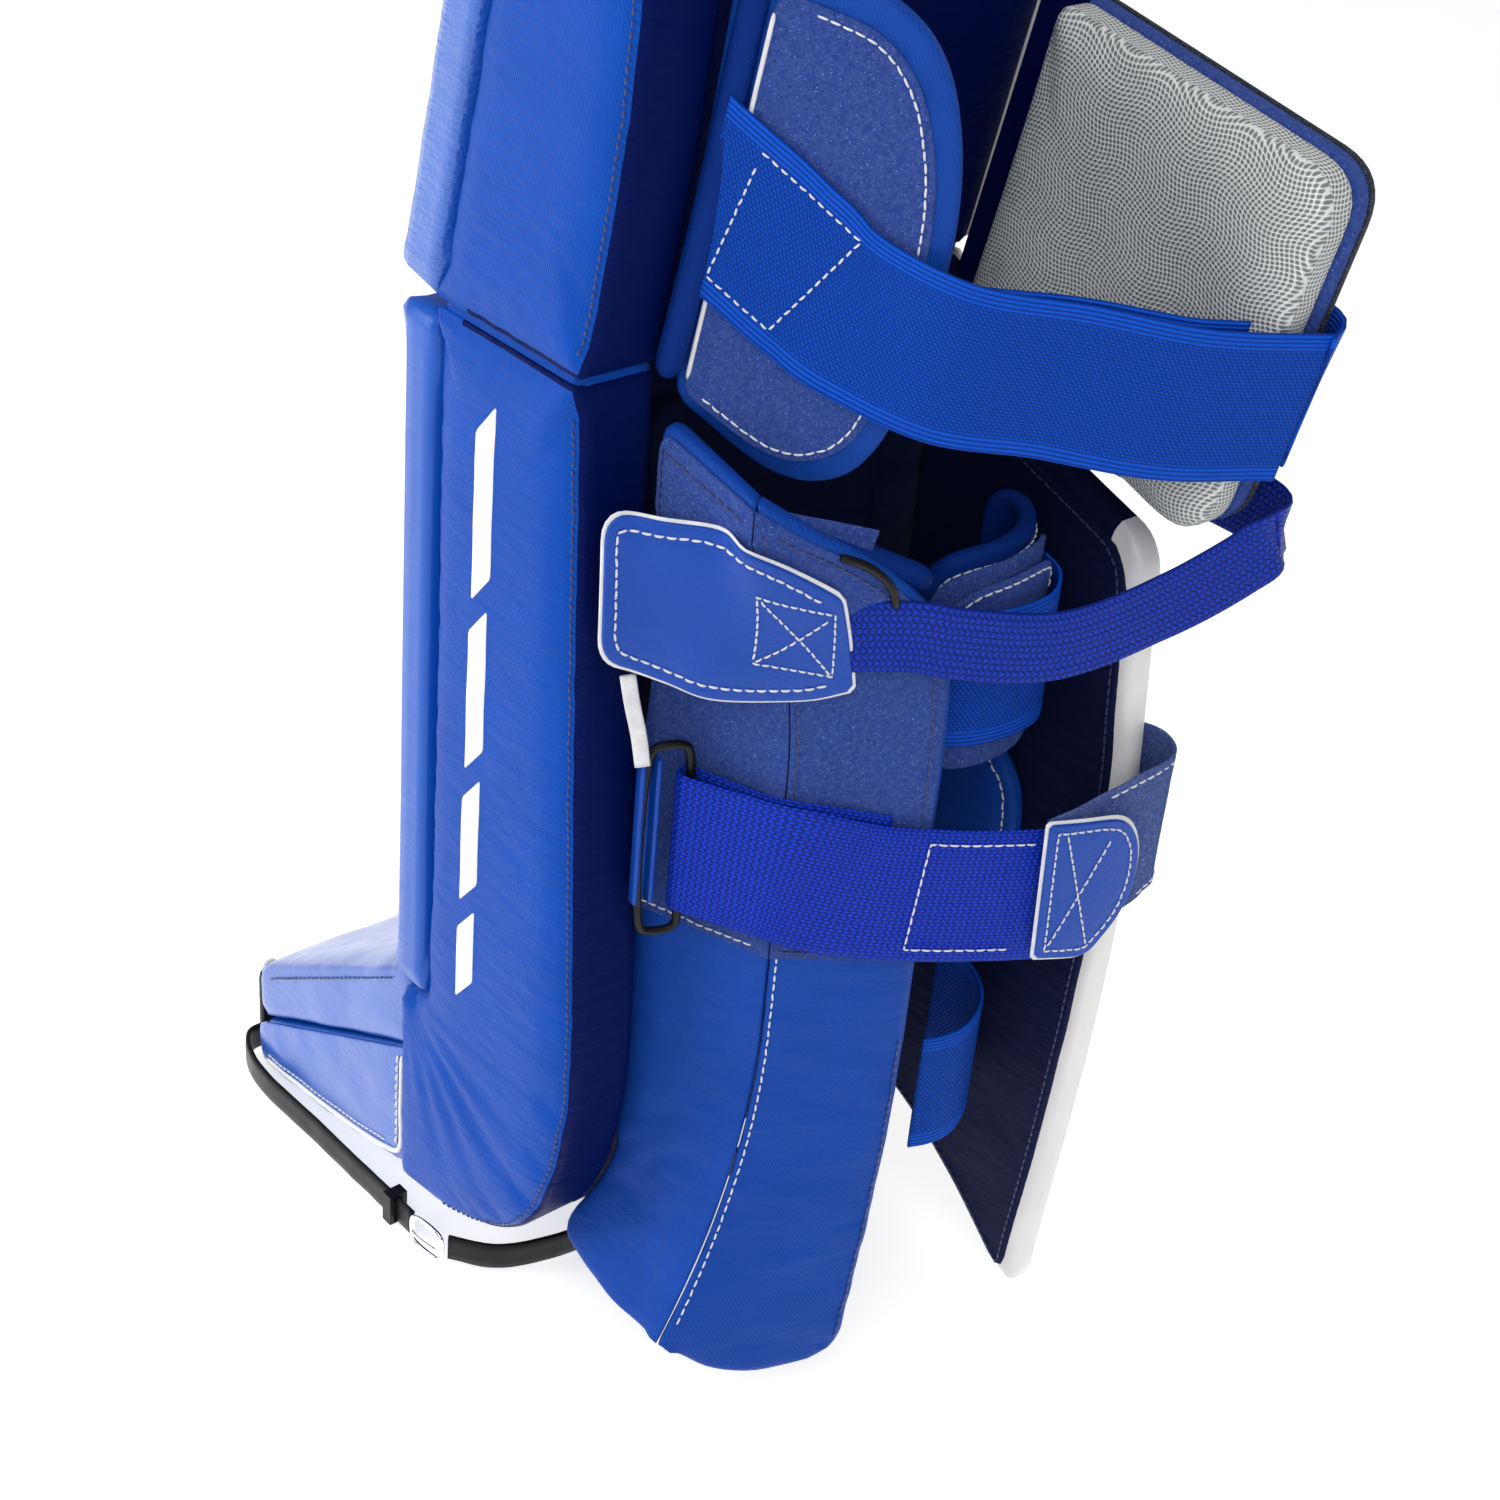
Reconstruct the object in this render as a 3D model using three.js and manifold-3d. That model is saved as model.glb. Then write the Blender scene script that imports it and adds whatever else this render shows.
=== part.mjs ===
// Ice-hockey goalie leg pad for the left leg, as an assembly of its separate pieces.
//
// Frame: millimetres. +Z runs up the shin, +X points to the outer (lateral) side of the leg, -Y is the
// front that faces the shooter and +Y is the back, where the leg lies. The pieces are laid out from
// the ice under the middle of the pad; the finished pad is then moved so that its origin is the
// middle of the flat floor of the padded cradle that the shin lies in.
import * as THREE from 'three';
import { mergeVertices } from 'three/addons/utils/BufferGeometryUtils.js';
import Module from 'manifold-3d';

const wasm = await Module();
wasm.setup();

// ---------------------------------------------------------------- driving dimensions
const GAP = 0.4; // clearance between pieces that touch on the real pad
const SKIN = 2.5; // cover material
const BOARD = 3; // plastic stiffener sheet
const HALF_WIDTH = 140; // an 11 inch wide pad
const FRONT_Y = -77;
const FACE_DEPTH = 37; // padded front layer
const FACE_BACK_Y = FRONT_Y + FACE_DEPTH;
const BACK_Y = 30; // back plane, where the leg channel starts
const LINING = 4; // leg channel lining
const SHIN_BOTTOM_Z = 60;
const CRADLE_LOW_Z = 210;
const CRADLE_HIGH_Z = 560;
const CRADLE_FLOOR_Y = BACK_Y + 6;
const BOOT_BREAK_Z = 187; // where the front bends into the boot
const KNEE_Z = 600; // where the shin meets the thigh rise
const THIGH_LENGTH = 262;
const THIGH_LEAN = THREE.MathUtils.degToRad(-12); // the thigh rise leans back at rest
const ROLL_INNER_X = 91; // outer roll, inner and outer faces
const ROLL_ROUND = 12;
const WING_THICK = 16; // calf wing padding
const LOOP_THICK = 1.6; // loop fabric for hook closures
const WING_CLEAR = 1; // between pieces that follow the wing's twisted faces
const STRAP_THICK = 2;

// ---------------------------------------------------------------- materials
const material = (color, roughness, metalness = 0) =>
  new THREE.MeshStandardMaterial({ color, roughness, metalness });
const BLUE_LEATHER = material(0x1c46b4, 0.42);
const BLUE_NYLON = material(0x1a3f9e, 0.7);
const NAVY_LINING = material(0x0a123c, 0.8);
const BLUE_LOOP = material(0x3f55a0, 0.98);
const BLUE_WEBBING = material(0x1426b4, 0.75);
const BLUE_ELASTIC = material(0x1648c4, 0.8);
const GREY_MESH = material(0xa9aeac, 0.85);
const WHITE_LEATHER = material(0xf0efec, 0.45);
const BLACK_LEATHER = material(0x0b0c0e, 0.5);
const BLACK_PLASTIC = material(0x0d0d0f, 0.35);
const STEEL = material(0xc8c8c6, 0.25, 1);
const FOAM = material(0xd8d6cc, 0.95);
const BOARD_PLASTIC = material(0xe4e4e0, 0.5);

// ---------------------------------------------------------------- solids from shapes
function solidOf(geometry) {
  const bare = geometry.index ? geometry.toNonIndexed() : geometry.clone();
  bare.deleteAttribute('normal');
  bare.deleteAttribute('uv');
  const merged = mergeVertices(bare, 1e-3);
  return new wasm.Manifold(new wasm.Mesh({
    numProp: 3,
    vertProperties: merged.attributes.position.array,
    triVerts: new Uint32Array(merged.index.array),
  }));
}

function geometryOf(solid) {
  const mesh = solid.getMesh();
  return new THREE.BufferGeometry()
    .setAttribute('position', new THREE.BufferAttribute(mesh.vertProperties, 3))
    .setIndex(new THREE.BufferAttribute(mesh.triVerts, 1));
}

const cut = (body, ...tools) =>
  geometryOf(tools.reduce((left, tool) => left.subtract(solidOf(tool)), solidOf(body)));
const common = (body, tool) => geometryOf(solidOf(body).intersect(solidOf(tool)));

// A closed outline through [x, y, rounding] points. The curve of a rounded corner starts that far
// before it and ends that far after it, and takes less than half of either edge.
function outline(points) {
  const shape = new THREE.Shape();
  points.forEach(([x, y, radius = 0], i) => {
    const here = new THREE.Vector2(x, y);
    const toward = (k) => {
      const other = points[(i + k + points.length) % points.length];
      const edge = new THREE.Vector2(other[0] - x, other[1] - y);
      return here.clone().addScaledVector(edge, Math.min(radius / edge.length(), 0.48));
    };
    const start = toward(-1);
    const end = toward(1);
    if (i === 0) shape.moveTo(start.x, start.y);
    else shape.lineTo(start.x, start.y);
    if (radius) shape.quadraticCurveTo(x, y, end.x, end.y);
  });
  return shape;
}

const rectangle = (x0, y0, x1, y1, radius = 0) =>
  outline([[x0, y0, radius], [x1, y0, radius], [x1, y1, radius], [x0, y1, radius]]);

// Extrudes between two depths. With round > 0 the edges of both ends are rounded inwards.
function extrude(shape, from, to, round = 0, inset = 0) {
  const geometry = new THREE.ExtrudeGeometry(shape, {
    depth: to - from - 2 * round,
    bevelEnabled: round > 0,
    bevelThickness: round,
    bevelSize: round,
    bevelOffset: -round - inset,
    bevelSegments: 3,
    curveSegments: 5,
  });
  return geometry.translate(0, 0, from + round);
}

const axes = (x, y, z) => new THREE.Matrix4().makeBasis(
  new THREE.Vector3(...x), new THREE.Vector3(...y), new THREE.Vector3(...z));
const ALONG_X = axes([0, 1, 0], [0, 0, 1], [1, 0, 0]); // an outline in (y, z), extruded along X
const ALONG_Y = axes([1, 0, 0], [0, 0, 1], [0, -1, 0]); // an outline in (x, z), extruded along -Y

const prismZ = (shape, z0, z1) => extrude(shape, z0, z1);
const prismX = (shape, x0, x1, round = 0, inset = 0) =>
  extrude(shape, x0, x1, round, inset).applyMatrix4(ALONG_X);
const prismY = (shape, y0, y1) => extrude(shape, -y1, -y0).applyMatrix4(ALONG_Y);
const box = (x0, x1, y0, y1, z0, z1) => prismZ(rectangle(x0, y0, x1, y1), z0, z1);

// A panel that stands upright in plan, from a foot point along a heading. Its outline is in
// (distance along the heading, z) and its thickness runs from offset to offset + thickness,
// outwards from the leg.
function panel(foot, heading, shape, offset, thickness, round = 0) {
  return extrude(shape, offset, offset + thickness, round)
    .rotateX(Math.PI / 2)
    .rotateZ(heading)
    .translate(foot[0], foot[1], 0);
}

// A flat band of webbing or fabric that stands upright. Its middle line runs through [x, y, z] points.
const STEPS_PER_POINT = 4;
function band(path, thickness, height) {
  const curve = new THREE.CatmullRomCurve3(path.map((p) => new THREE.Vector3(...p)), false, 'centripetal');
  const steps = STEPS_PER_POINT * (path.length - 1);
  const middle = curve.getPoints(steps);
  const side = (sign) => middle.map((point, i) => {
    const tangent = curve.getTangent(i / steps);
    const across = new THREE.Vector2(-tangent.y, tangent.x).normalize();
    return new THREE.Vector2(point.x, point.y).addScaledVector(across, sign * thickness / 2);
  });
  const level = prismZ(new THREE.Shape([...side(-1), ...side(1).reverse()]), -height / 2, height / 2);
  const position = level.attributes.position;
  for (let i = 0; i < position.count; i += 1) {
    const away = (p) => Math.hypot(p.x - position.getX(i), p.y - position.getY(i));
    const nearest = middle.reduce((best, p) => (away(p) < away(best) ? p : best));
    position.setZ(i, position.getZ(i) + nearest.z);
  }
  return level;
}

// Joins equal rings of points, each ring above the last, into a closed body with flat-cut ends. The
// second half of a ring is split on the other diagonal, so that the two faces of a panel match.
function loft(rings) {
  const count = rings[0].length;
  const caps = THREE.ShapeUtils.triangulateShape(rings[0].map((p) => new THREE.Vector2(p.x, p.y)), []);
  const top = (rings.length - 1) * count;
  const triangles = [];
  caps.forEach(([a, b, c]) => triangles.push(a, c, b, top + a, top + b, top + c));
  for (let ring = 0; ring < rings.length - 1; ring += 1) {
    for (let i = 0; i < count; i += 1) {
      const a = ring * count + i;
      const b = ring * count + (i + 1) % count;
      if (i < count / 2) triangles.push(a, b, b + count, a, b + count, a + count);
      else triangles.push(a, b, a + count, b, b + count, a + count);
    }
  }
  const geometry = new THREE.BufferGeometry().setFromPoints(rings.flat());
  geometry.setIndex(triangles);
  return geometry;
}

// A round cord along a smooth path in space.
function cord(path, radius, samples = 20) {
  const section = new THREE.Shape().absarc(0, 0, radius, 0, 2 * Math.PI);
  const curve = new THREE.CatmullRomCurve3(path.map((p) => new THREE.Vector3(...p)));
  return new THREE.ExtrudeGeometry(section, {
    steps: samples, curveSegments: 8, bevelEnabled: false, extrudePath: curve,
  });
}

const root = new THREE.Group();
const thigh = new THREE.Group(); // built upright, then leaned back about the back of the knee
root.add(thigh);

function add(parent, name, geometry, look) {
  const mesh = new THREE.Mesh(geometry, look);
  mesh.name = name;
  parent.add(mesh);
}

// ---------------------------------------------------------------- padded front layers
// Plan outline of the front layer, rounded at both front edges, inset all round but at the back.
const facePlan = (inset, backY) => outline([
  [-HALF_WIDTH + inset, FRONT_Y + inset, 14],
  [HALF_WIDTH - inset, FRONT_Y + inset, 14],
  [HALF_WIDTH - inset, backY],
  [-HALF_WIDTH + inset, backY],
]);

// A leather tray open at the back, the foam that fills it and the plastic board that closes it.
function faceLayer(z0, z1) {
  const boardFront = FACE_BACK_Y - GAP - BOARD;
  const inside = SKIN + GAP;
  return {
    cover: cut(prismZ(facePlan(0, FACE_BACK_Y - GAP), z0, z1),
      prismZ(facePlan(SKIN, FACE_BACK_Y + 1), z0 + SKIN, z1 - SKIN)),
    foam: prismZ(facePlan(inside, boardFront - GAP), z0 + inside, z1 - inside),
    board: box(-HALF_WIDTH + inside, HALF_WIDTH - inside, boardFront, FACE_BACK_Y - GAP,
      z0 + inside, z1 - inside),
  };
}

// ---------------------------------------------------------------- shin section
function buildShin() {
  const top = KNEE_Z - 4;
  const face = faceLayer(BOOT_BREAK_Z + 4, top - 4);
  add(root, 'shin_face_cover', face.cover, BLUE_LEATHER);
  add(root, 'shin_face_foam', face.foam, FOAM);
  add(root, 'shin_stiffener_board', face.board, BOARD_PLASTIC);

  const coreLeft = -HALF_WIDTH + SKIN + GAP;
  const coreRight = ROLL_INNER_X - GAP;
  const coreBack = BACK_Y - LINING - GAP;
  add(root, 'shin_core_foam', box(coreLeft, coreRight, FACE_BACK_Y, coreBack, SHIN_BOTTOM_Z, top), FOAM);
  add(root, 'leg_channel_lining',
    box(coreLeft, coreRight, BACK_Y - LINING, BACK_Y, SHIN_BOTTOM_Z, top), NAVY_LINING);
  add(root, 'shin_medial_gusset',
    box(-HALF_WIDTH, -HALF_WIDTH + SKIN, FACE_BACK_Y, BACK_Y, SHIN_BOTTOM_Z, top), WHITE_LEATHER);

  // The outer roll grows thicker towards the ankle and rounds off under it.
  const rollSide = outline([
    [FACE_BACK_Y, top], [FACE_BACK_Y, BOOT_BREAK_Z + 2], [-68, BOOT_BREAK_Z - 4], [-66, 46],
    [0, 54, 40], [62, 90, 60], [92, 190, 60], [78, 400, 60], [68, top],
  ]);
  const shell = prismX(rollSide, ROLL_INNER_X, HALF_WIDTH, ROLL_ROUND);
  const hollow = prismX(rollSide, ROLL_INNER_X + SKIN, HALF_WIDTH - SKIN, ROLL_ROUND, SKIN);
  const zipSlot = box(ROLL_INNER_X - 2, ROLL_INNER_X + 8, 0, 8, 200, 480);
  add(root, 'outer_roll_lower_cover', cut(shell, hollow, zipSlot), BLUE_NYLON);
  add(root, 'outer_roll_lower_foam',
    prismX(rollSide, ROLL_INNER_X + SKIN + GAP, HALF_WIDTH - SKIN - GAP, ROLL_ROUND, SKIN + GAP), FOAM);

  // Padded shin cradle on the lining: a flat floor between two ridges.
  const ridgeY = BACK_Y + 13;
  add(root, 'shin_cradle_pad', prismZ(outline([
    [-84, BACK_Y + GAP], [74, BACK_Y + GAP], [66, ridgeY, 8], [45, CRADLE_FLOOR_Y], [-45, CRADLE_FLOOR_Y],
    [-76, ridgeY, 8],
  ]), CRADLE_LOW_Z, CRADLE_HIGH_Z), NAVY_LINING);
}

// ---------------------------------------------------------------- thigh rise
function buildThigh() {
  const low = KNEE_Z - 60;
  const high = KNEE_Z + THIGH_LENGTH;
  const face = faceLayer(low, high);
  const pivot = new THREE.Vector3(0, BACK_Y, KNEE_Z);
  // Everything under the break plane is cut away; the plane is level once the thigh leans back.
  const under = (clear) => new THREE.BoxGeometry(600, 600, 300)
    .translate(0, 0, -150 + clear)
    .rotateX(-THIGH_LEAN)
    .translate(0, pivot.y, pivot.z);
  const frontView = (inset) => prismY(outline([
    [-HALF_WIDTH + inset, low - 10], [HALF_WIDTH - inset, low - 10],
    [HALF_WIDTH - inset, high - inset, 46], [-HALF_WIDTH + inset, high - inset, 70],
  ]), -150, 150);
  const shaped = (geometry, inset, clear) => cut(common(geometry, frontView(inset)), under(clear));
  const FACE_CLEAR = 6; // the open notch between the two front layers
  const covered = FACE_CLEAR + SKIN + GAP;

  const hollow = cut(common(prismZ(facePlan(SKIN, FACE_BACK_Y + 1), low, high), frontView(SKIN)),
    under(FACE_CLEAR + SKIN));
  const faceSolid = shaped(prismZ(facePlan(0, FACE_BACK_Y - GAP), low, high), 0, FACE_CLEAR);
  add(thigh, 'thigh_face_cover', cut(faceSolid, hollow), BLUE_LEATHER);
  add(thigh, 'thigh_face_foam', shaped(face.foam, SKIN + GAP, covered), FOAM);
  add(thigh, 'thigh_stiffener_board', shaped(face.board, SKIN + GAP, covered), BOARD_PLASTIC);

  const left = -HALF_WIDTH + SKIN + GAP;
  const right = ROLL_INNER_X - GAP;
  const slab = (x0, x1, y0, y1) => shaped(box(x0, x1, y0, y1, low, high), 0, 2);
  add(thigh, 'thigh_core_foam', slab(left, right, FACE_BACK_Y, BACK_Y - LINING - GAP), FOAM);
  add(thigh, 'thigh_back_cover', slab(left, right, BACK_Y - LINING, BACK_Y), NAVY_LINING);
  add(thigh, 'thigh_medial_gusset',
    slab(-HALF_WIDTH, -HALF_WIDTH + SKIN, FACE_BACK_Y, BACK_Y), WHITE_LEATHER);

  const rollSide = outline([
    [FACE_BACK_Y, low], [70, low], [66, high - 120, 60], [44, high - 8, 40], [FACE_BACK_Y, high - 20],
  ]);
  const roll = (inset, clear) => cut(
    prismX(rollSide, ROLL_INNER_X + inset, HALF_WIDTH - inset, ROLL_ROUND, inset), under(clear));
  const zipSlot = box(ROLL_INNER_X - 2, ROLL_INNER_X + 8, 0, 8, KNEE_Z + 60, high - 60);
  add(thigh, 'outer_roll_upper_cover', cut(roll(0, 2), roll(SKIN, 2 + SKIN), zipSlot), BLUE_NYLON);
  add(thigh, 'outer_roll_upper_foam', roll(SKIN + GAP, 2 + SKIN + GAP), FOAM);
}

// ---------------------------------------------------------------- knee wing, block and elastic strap
const KNEE_WING_THICK = 14;
const KNEE_WING_FOOT = [83, 72]; // inner face
const KNEE_WING_HEADING = THREE.MathUtils.degToRad(129);

function buildKneeCradle() {
  const wing = outline([
    [0, 598, 10], [60, 566, 40], [98, 590, 40], [106, 720, 60], [74, 806, 50], [0, 812, 20],
  ]);
  add(thigh, 'knee_wing_pad', panel(KNEE_WING_FOOT, KNEE_WING_HEADING, wing, 0, KNEE_WING_THICK, 4), BLUE_NYLON);
  const loop = outline([
    [6, 604, 8], [56, 580, 26], [84, 600, 24], [92, 720, 50], [62, 790, 40], [6, 798, 10],
  ]);
  add(thigh, 'knee_wing_loop_panel',
    panel(KNEE_WING_FOOT, KNEE_WING_HEADING, loop, KNEE_WING_THICK + GAP, LOOP_THICK), BLUE_LOOP);

  // The block is a padded plate along the medial side; the knee lands on its grey face.
  const faceX = -104;
  const padBack = -128;
  const block = (grow) => outline([
    [64 - grow, 580 - grow], [240 + grow, 566 - grow, 26], [240 + grow, 762 + grow, 26],
    [64 - grow, 756 + grow],
  ]);
  const shell = prismX(block(0), padBack, faceX, 5);
  const hollow = prismX(block(0), padBack - 3, faceX - SKIN, 5, SKIN);
  add(thigh, 'knee_block_face_cover', cut(shell, hollow), GREY_MESH);
  add(thigh, 'knee_block_foam', prismX(block(0), padBack + GAP, faceX - SKIN - GAP, 4, SKIN + GAP), FOAM);
  add(thigh, 'knee_block_backing_pad', prismX(block(-1), padBack - 14, padBack - GAP, 4), BLUE_LOOP);
  add(thigh, 'knee_block_hinge_strip',
    box(-139, -136, BACK_Y + GAP, 64, 640, 740), BLUE_NYLON);

  // Wide elastic: its free end rests on the wing's loop panel and it turns round the block's back edge.
  const ELASTIC_WIDTH = 82;
  add(thigh, 'knee_strap_elastic', band([
    [96, 86, 696], [78, 108, 682], [58, 134, 666], [26, 170, 654], [-24, 198, 652], [-76, 228, 648],
    [-134, 251, 648]], STRAP_THICK, ELASTIC_WIDTH), BLUE_ELASTIC);
  add(thigh, 'knee_strap_inner_layer', band([
    [18, 170, 656], [-26, 193.5, 655], [-70, 219, 651], [-96, 230, 650]],
  STRAP_THICK, ELASTIC_WIDTH), BLUE_ELASTIC);
  add(thigh, 'knee_strap_anchor', band([
    [-138, 250, 648], [-147, 244, 650], [-149, 228, 650], [-147, 180, 655], [-145, 120, 660]],
  STRAP_THICK, ELASTIC_WIDTH), BLUE_ELASTIC);
}

// ---------------------------------------------------------------- boot
function buildBoot() {
  const left = -126;
  const right = 128;
  const faceSide = [[-71, BOOT_BREAK_Z], [-240, 80], [-238, 42], [-71, 131]];
  const shell = prismX(outline(faceSide), left, right, 4);
  const hollow = cut(prismX(outline(faceSide), left, right, 4, SKIN),
    box(left - 9, left + SKIN, -300, 0, 0, 300), box(right - SKIN, right + 9, -300, 0, 0, 300));
  const seamSlot = box(-60, 60, -200, -110, 60, 84);
  add(root, 'boot_face_cover', cut(shell, hollow, seamSlot), BLUE_LEATHER);
  add(root, 'boot_face_foam', cut(prismX(outline(faceSide), left, right, 4, SKIN + GAP),
    box(left - 9, left + SKIN + GAP, -300, 0, 0, 300),
    box(right - SKIN - GAP, right + 9, -300, 0, 0, 300)), FOAM);

  // Under the face: two side walls and a bridge, with a channel between them for the skate's toe.
  const wallSide = [[-71.5, 129], [-237, 40.5, 4], [-235, 10, 8], [-136, 25, 20], [-71.5, 42, 4]];
  const walls = prismX(outline(wallSide), left + SKIN + GAP, right - SKIN - GAP);
  const skateChannel = prismX(outline([[-245, 0], [-50, 0], [-50, 96], [-215, 26]]), -62, 62);
  add(root, 'boot_wall_foam', cut(walls, skateChannel), FOAM);
  const sidePanel = outline([[-72, 128], [-237, 40, 4], [-235, 10, 10], [-136, 25, 30], [-72, 42, 6]]);
  add(root, 'boot_side_panel_lateral', prismX(sidePanel, right - SKIN, right), BLUE_LEATHER);
  add(root, 'boot_side_panel_medial', prismX(sidePanel, left, left + SKIN), WHITE_LEATHER);
  add(root, 'boot_piping', cord([
    [right + 2, -75, 124], [right + 2, -75, 84], [right + 2, -76, 48], [right + 2, -90, 41],
    [right + 2, -136, 30], [right + 2, -190, 21], [right + 2, -229, 16],
  ], 1.8), WHITE_LEATHER);

  // Toe bridge: the leather tongue at the tip that the lace and the strap hang from.
  add(root, 'toe_bridge', box(96, 122, -247, -241, 12, 74), BLACK_LEATHER);
  add(root, 'toe_lace', cord([
    [105, -253, 50], [96, -262, 44], [104, -266, 34], [116, -262, 38], [113, -253, 50],
  ], 2, 16), WHITE_LEATHER);
}

// ---------------------------------------------------------------- toe strap and its buckle
function buildToeStrap() {
  const low = 2;
  const high = 20;
  const level = (points) => points.map(([x, y]) => [x, y, (low + high) / 2]);
  const front = [[110, -257], [124, -255], [135.5, -230], [135.5, -150], [133.5, -55]];
  add(root, 'toe_strap_front', band(level(front), 3, high - low), BLACK_LEATHER);
  const rear = [[128, -26], [110, -4], [76, 9], [0, 14], [-76, 9], [-112, -8], [-121, -44]];
  add(root, 'toe_strap_rear', band(level(rear), 3, high - low), BLACK_LEATHER);

  const frame = extrude(rectangle(-15, 0, 15, 23, 4), -1.5, 1.5);
  const window = extrude(rectangle(-10, 4, 10, 19, 2), -3, 3);
  const place = (geometry) => geometry.rotateX(Math.PI / 2).rotateZ(Math.PI / 2 + 0.12).translate(134.5, -39, 0);
  add(root, 'toe_buckle_frame', place(cut(frame, window)), STEEL);
  add(root, 'toe_buckle_prong',
    place(new THREE.CylinderGeometry(1.1, 1.1, 22, 10).rotateZ(Math.PI / 2).translate(0, 11.5, 4)), STEEL);
  const keeper = cut(box(127.5, 139.5, -78, -70, low - 1.5, high + 1.5),
    box(130.5, 136.5, -80, -68, low - 0.7, high + 0.7));
  add(root, 'toe_strap_keeper', keeper, BLACK_LEATHER);
}

// ---------------------------------------------------------------- calf wings
// Outer face of the lateral wing in plan, by height: straight at mid calf, flared above and below it.
const FLARE_LOW = 250;
const FLARE_HIGH = 400;
const above = (z) => THREE.MathUtils.clamp(z - FLARE_HIGH, 0, 140);
const below = (z) => Math.max(0, FLARE_LOW - z);
const wingFoot = (z) => new THREE.Vector2(86 + 0.0008 * above(z) ** 2, 66 + 0.12 * above(z));
const wingFold = (z) => new THREE.Vector2(54 + 0.0025 * above(z) ** 2 + 0.0014 * below(z) ** 2, 140);
const wingEdge = (z) => new THREE.Vector2(-10 + 0.001 * above(z) ** 2 + 0.0008 * below(z) ** 2, 182);

// The three corners of that face at one height, moved a distance outwards. A share past 1 is on the
// rear panel.
function besideWing(z, distance) {
  const [foot, fold, edge] = [wingFoot(z), wingFold(z), wingEdge(z)];
  const outward = (a, b) => {
    const along = b.clone().sub(a).normalize();
    return new THREE.Vector2(along.y, -along.x);
  };
  const front = outward(foot, fold);
  const rear = outward(fold, edge);
  const corner = front.clone().add(rear).multiplyScalar(distance / (1 + front.dot(rear)));
  foot.addScaledVector(front, distance);
  fold.add(corner);
  edge.addScaledVector(rear, distance);
  return (share) => {
    const place = share < 1 ? foot.clone().lerp(fold, share) : fold.clone().lerp(edge, share - 1);
    return new THREE.Vector3(place.x, place.y, z);
  };
}

// Stacks level rings up the wing; all its pieces share the same levels, so their faces stay parallel.
const WING_LEVELS = [
  ...Array.from({ length: 12 }, (_, k) => 20 + 32 * k),
  ...Array.from({ length: 20 }, (_, k) => FLARE_HIGH + 10 * k),
];
const wingLoft = (ring, side, lowest = 0) =>
  common(loft(WING_LEVELS.filter((z) => z > lowest).map(ring)), prismX(side, -60, 180));
const wingPanel = (start, end, inner, outer, side) => wingLoft((z) => {
  const [near, far] = [besideWing(z, inner), besideWing(z, outer)];
  return [far(start), far(end), near(end), near(start)];
}, side);

function buildCalfWings() {
  const padSide = outline([
    [30, 126], [120, 84, 30], [160, 24, 30], [210, 24], [210, 430], [182, 486, 50], [140, 538, 30],
    [70, 578, 20], [30, 578]]);
  const OPEN_FOLD = 0.012; // half of the open fold line between the two panels
  add(root, 'calf_wing_front_pad', wingPanel(0, 1 - OPEN_FOLD, -WING_THICK, 0, padSide), BLUE_NYLON);
  add(root, 'calf_wing_rear_pad', wingPanel(1 + OPEN_FOLD, 2, -WING_THICK, 0, padSide), BLUE_NYLON);
  const loopSide = outline([
    [30, 300], [210, 292], [210, 424], [178, 478, 50], [138, 528, 30], [70, 568, 20], [30, 568]]);
  add(root, 'calf_wing_loop_front',
    wingPanel(0, 1 - OPEN_FOLD, WING_CLEAR, WING_CLEAR + LOOP_THICK, loopSide), BLUE_LOOP);
  add(root, 'calf_wing_loop_rear',
    wingPanel(1 + OPEN_FOLD, 1.95, WING_CLEAR, WING_CLEAR + LOOP_THICK, loopSide), BLUE_LOOP);

  // Medial wing: the stiff side plate that slides on the ice, white outside and navy inside.
  const side = (inset) => outline([
    [BACK_Y + 2, 96 + inset, 20], [98, 68 + inset, 20], [150, 30 + inset, 20], [188 - inset, 4 + inset, 20],
    [203 - inset, 190, 80], [206 - inset, 320, 80], [188 - inset, 500 - inset, 20], [BACK_Y + 2, 504 - inset, 10]]);
  const outerX = -143;
  const innerX = -121;
  const cover = 3;
  add(root, 'medial_wing_slide_cover', prismX(side(0), outerX, outerX + cover), WHITE_LEATHER);
  add(root, 'medial_wing_foam', prismX(side(2), outerX + cover + GAP, innerX - cover - GAP, 3), FOAM);
  add(root, 'medial_wing_inner_cover', prismX(side(0), innerX - cover, innerX), NAVY_LINING);
  const anklePad = outline([[66, 330], [66, 224, 10], [138, 232, 20], [146, 330, 30], [122, 356, 14], [66, 350, 8]]);
  add(root, 'ankle_side_pad', prismX(anklePad, innerX + GAP, innerX + 9, 3), BLUE_NYLON);
}

// ---------------------------------------------------------------- padded inner calf wrap
function buildInnerCalfWrap() {
  const middle = 431;
  const height = 118;
  const pad = outline([
    [-34, 146, 10], [-66, 118, 24], [-104, 104, 18], [-110, 136, 20], [-86, 156, 20], [-48, 156, 20]]);
  add(root, 'calf_wrap_pad', prismZ(pad, middle - height / 2, middle + height / 2), BLUE_NYLON);
  const layers = [[-40, 164], [-58, 169], [-88, 169], [-113, 148]];
  add(root, 'calf_wrap_loop_layers',
    band(layers.map(([x, y]) => [x, y, middle - 4]), 8, height - 18), BLUE_LOOP);
  const elastic = [[-34, 172], [-46, 180], [-64, 184], [-92, 182], [-116, 162], [-118, 148]];
  add(root, 'calf_wrap_elastic',
    band(elastic.map(([x, y]) => [x, y, middle - 14]), STRAP_THICK, 116), BLUE_ELASTIC);
  const ankle = [[-44, 164], [-56, 168], [-72, 168], [-98, 154], [-112, 132], [-118, 100]];
  add(root, 'ankle_elastic', band(ankle.map(([x, y]) => [x, y, 176]), STRAP_THICK, 76), BLUE_ELASTIC);
}

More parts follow.
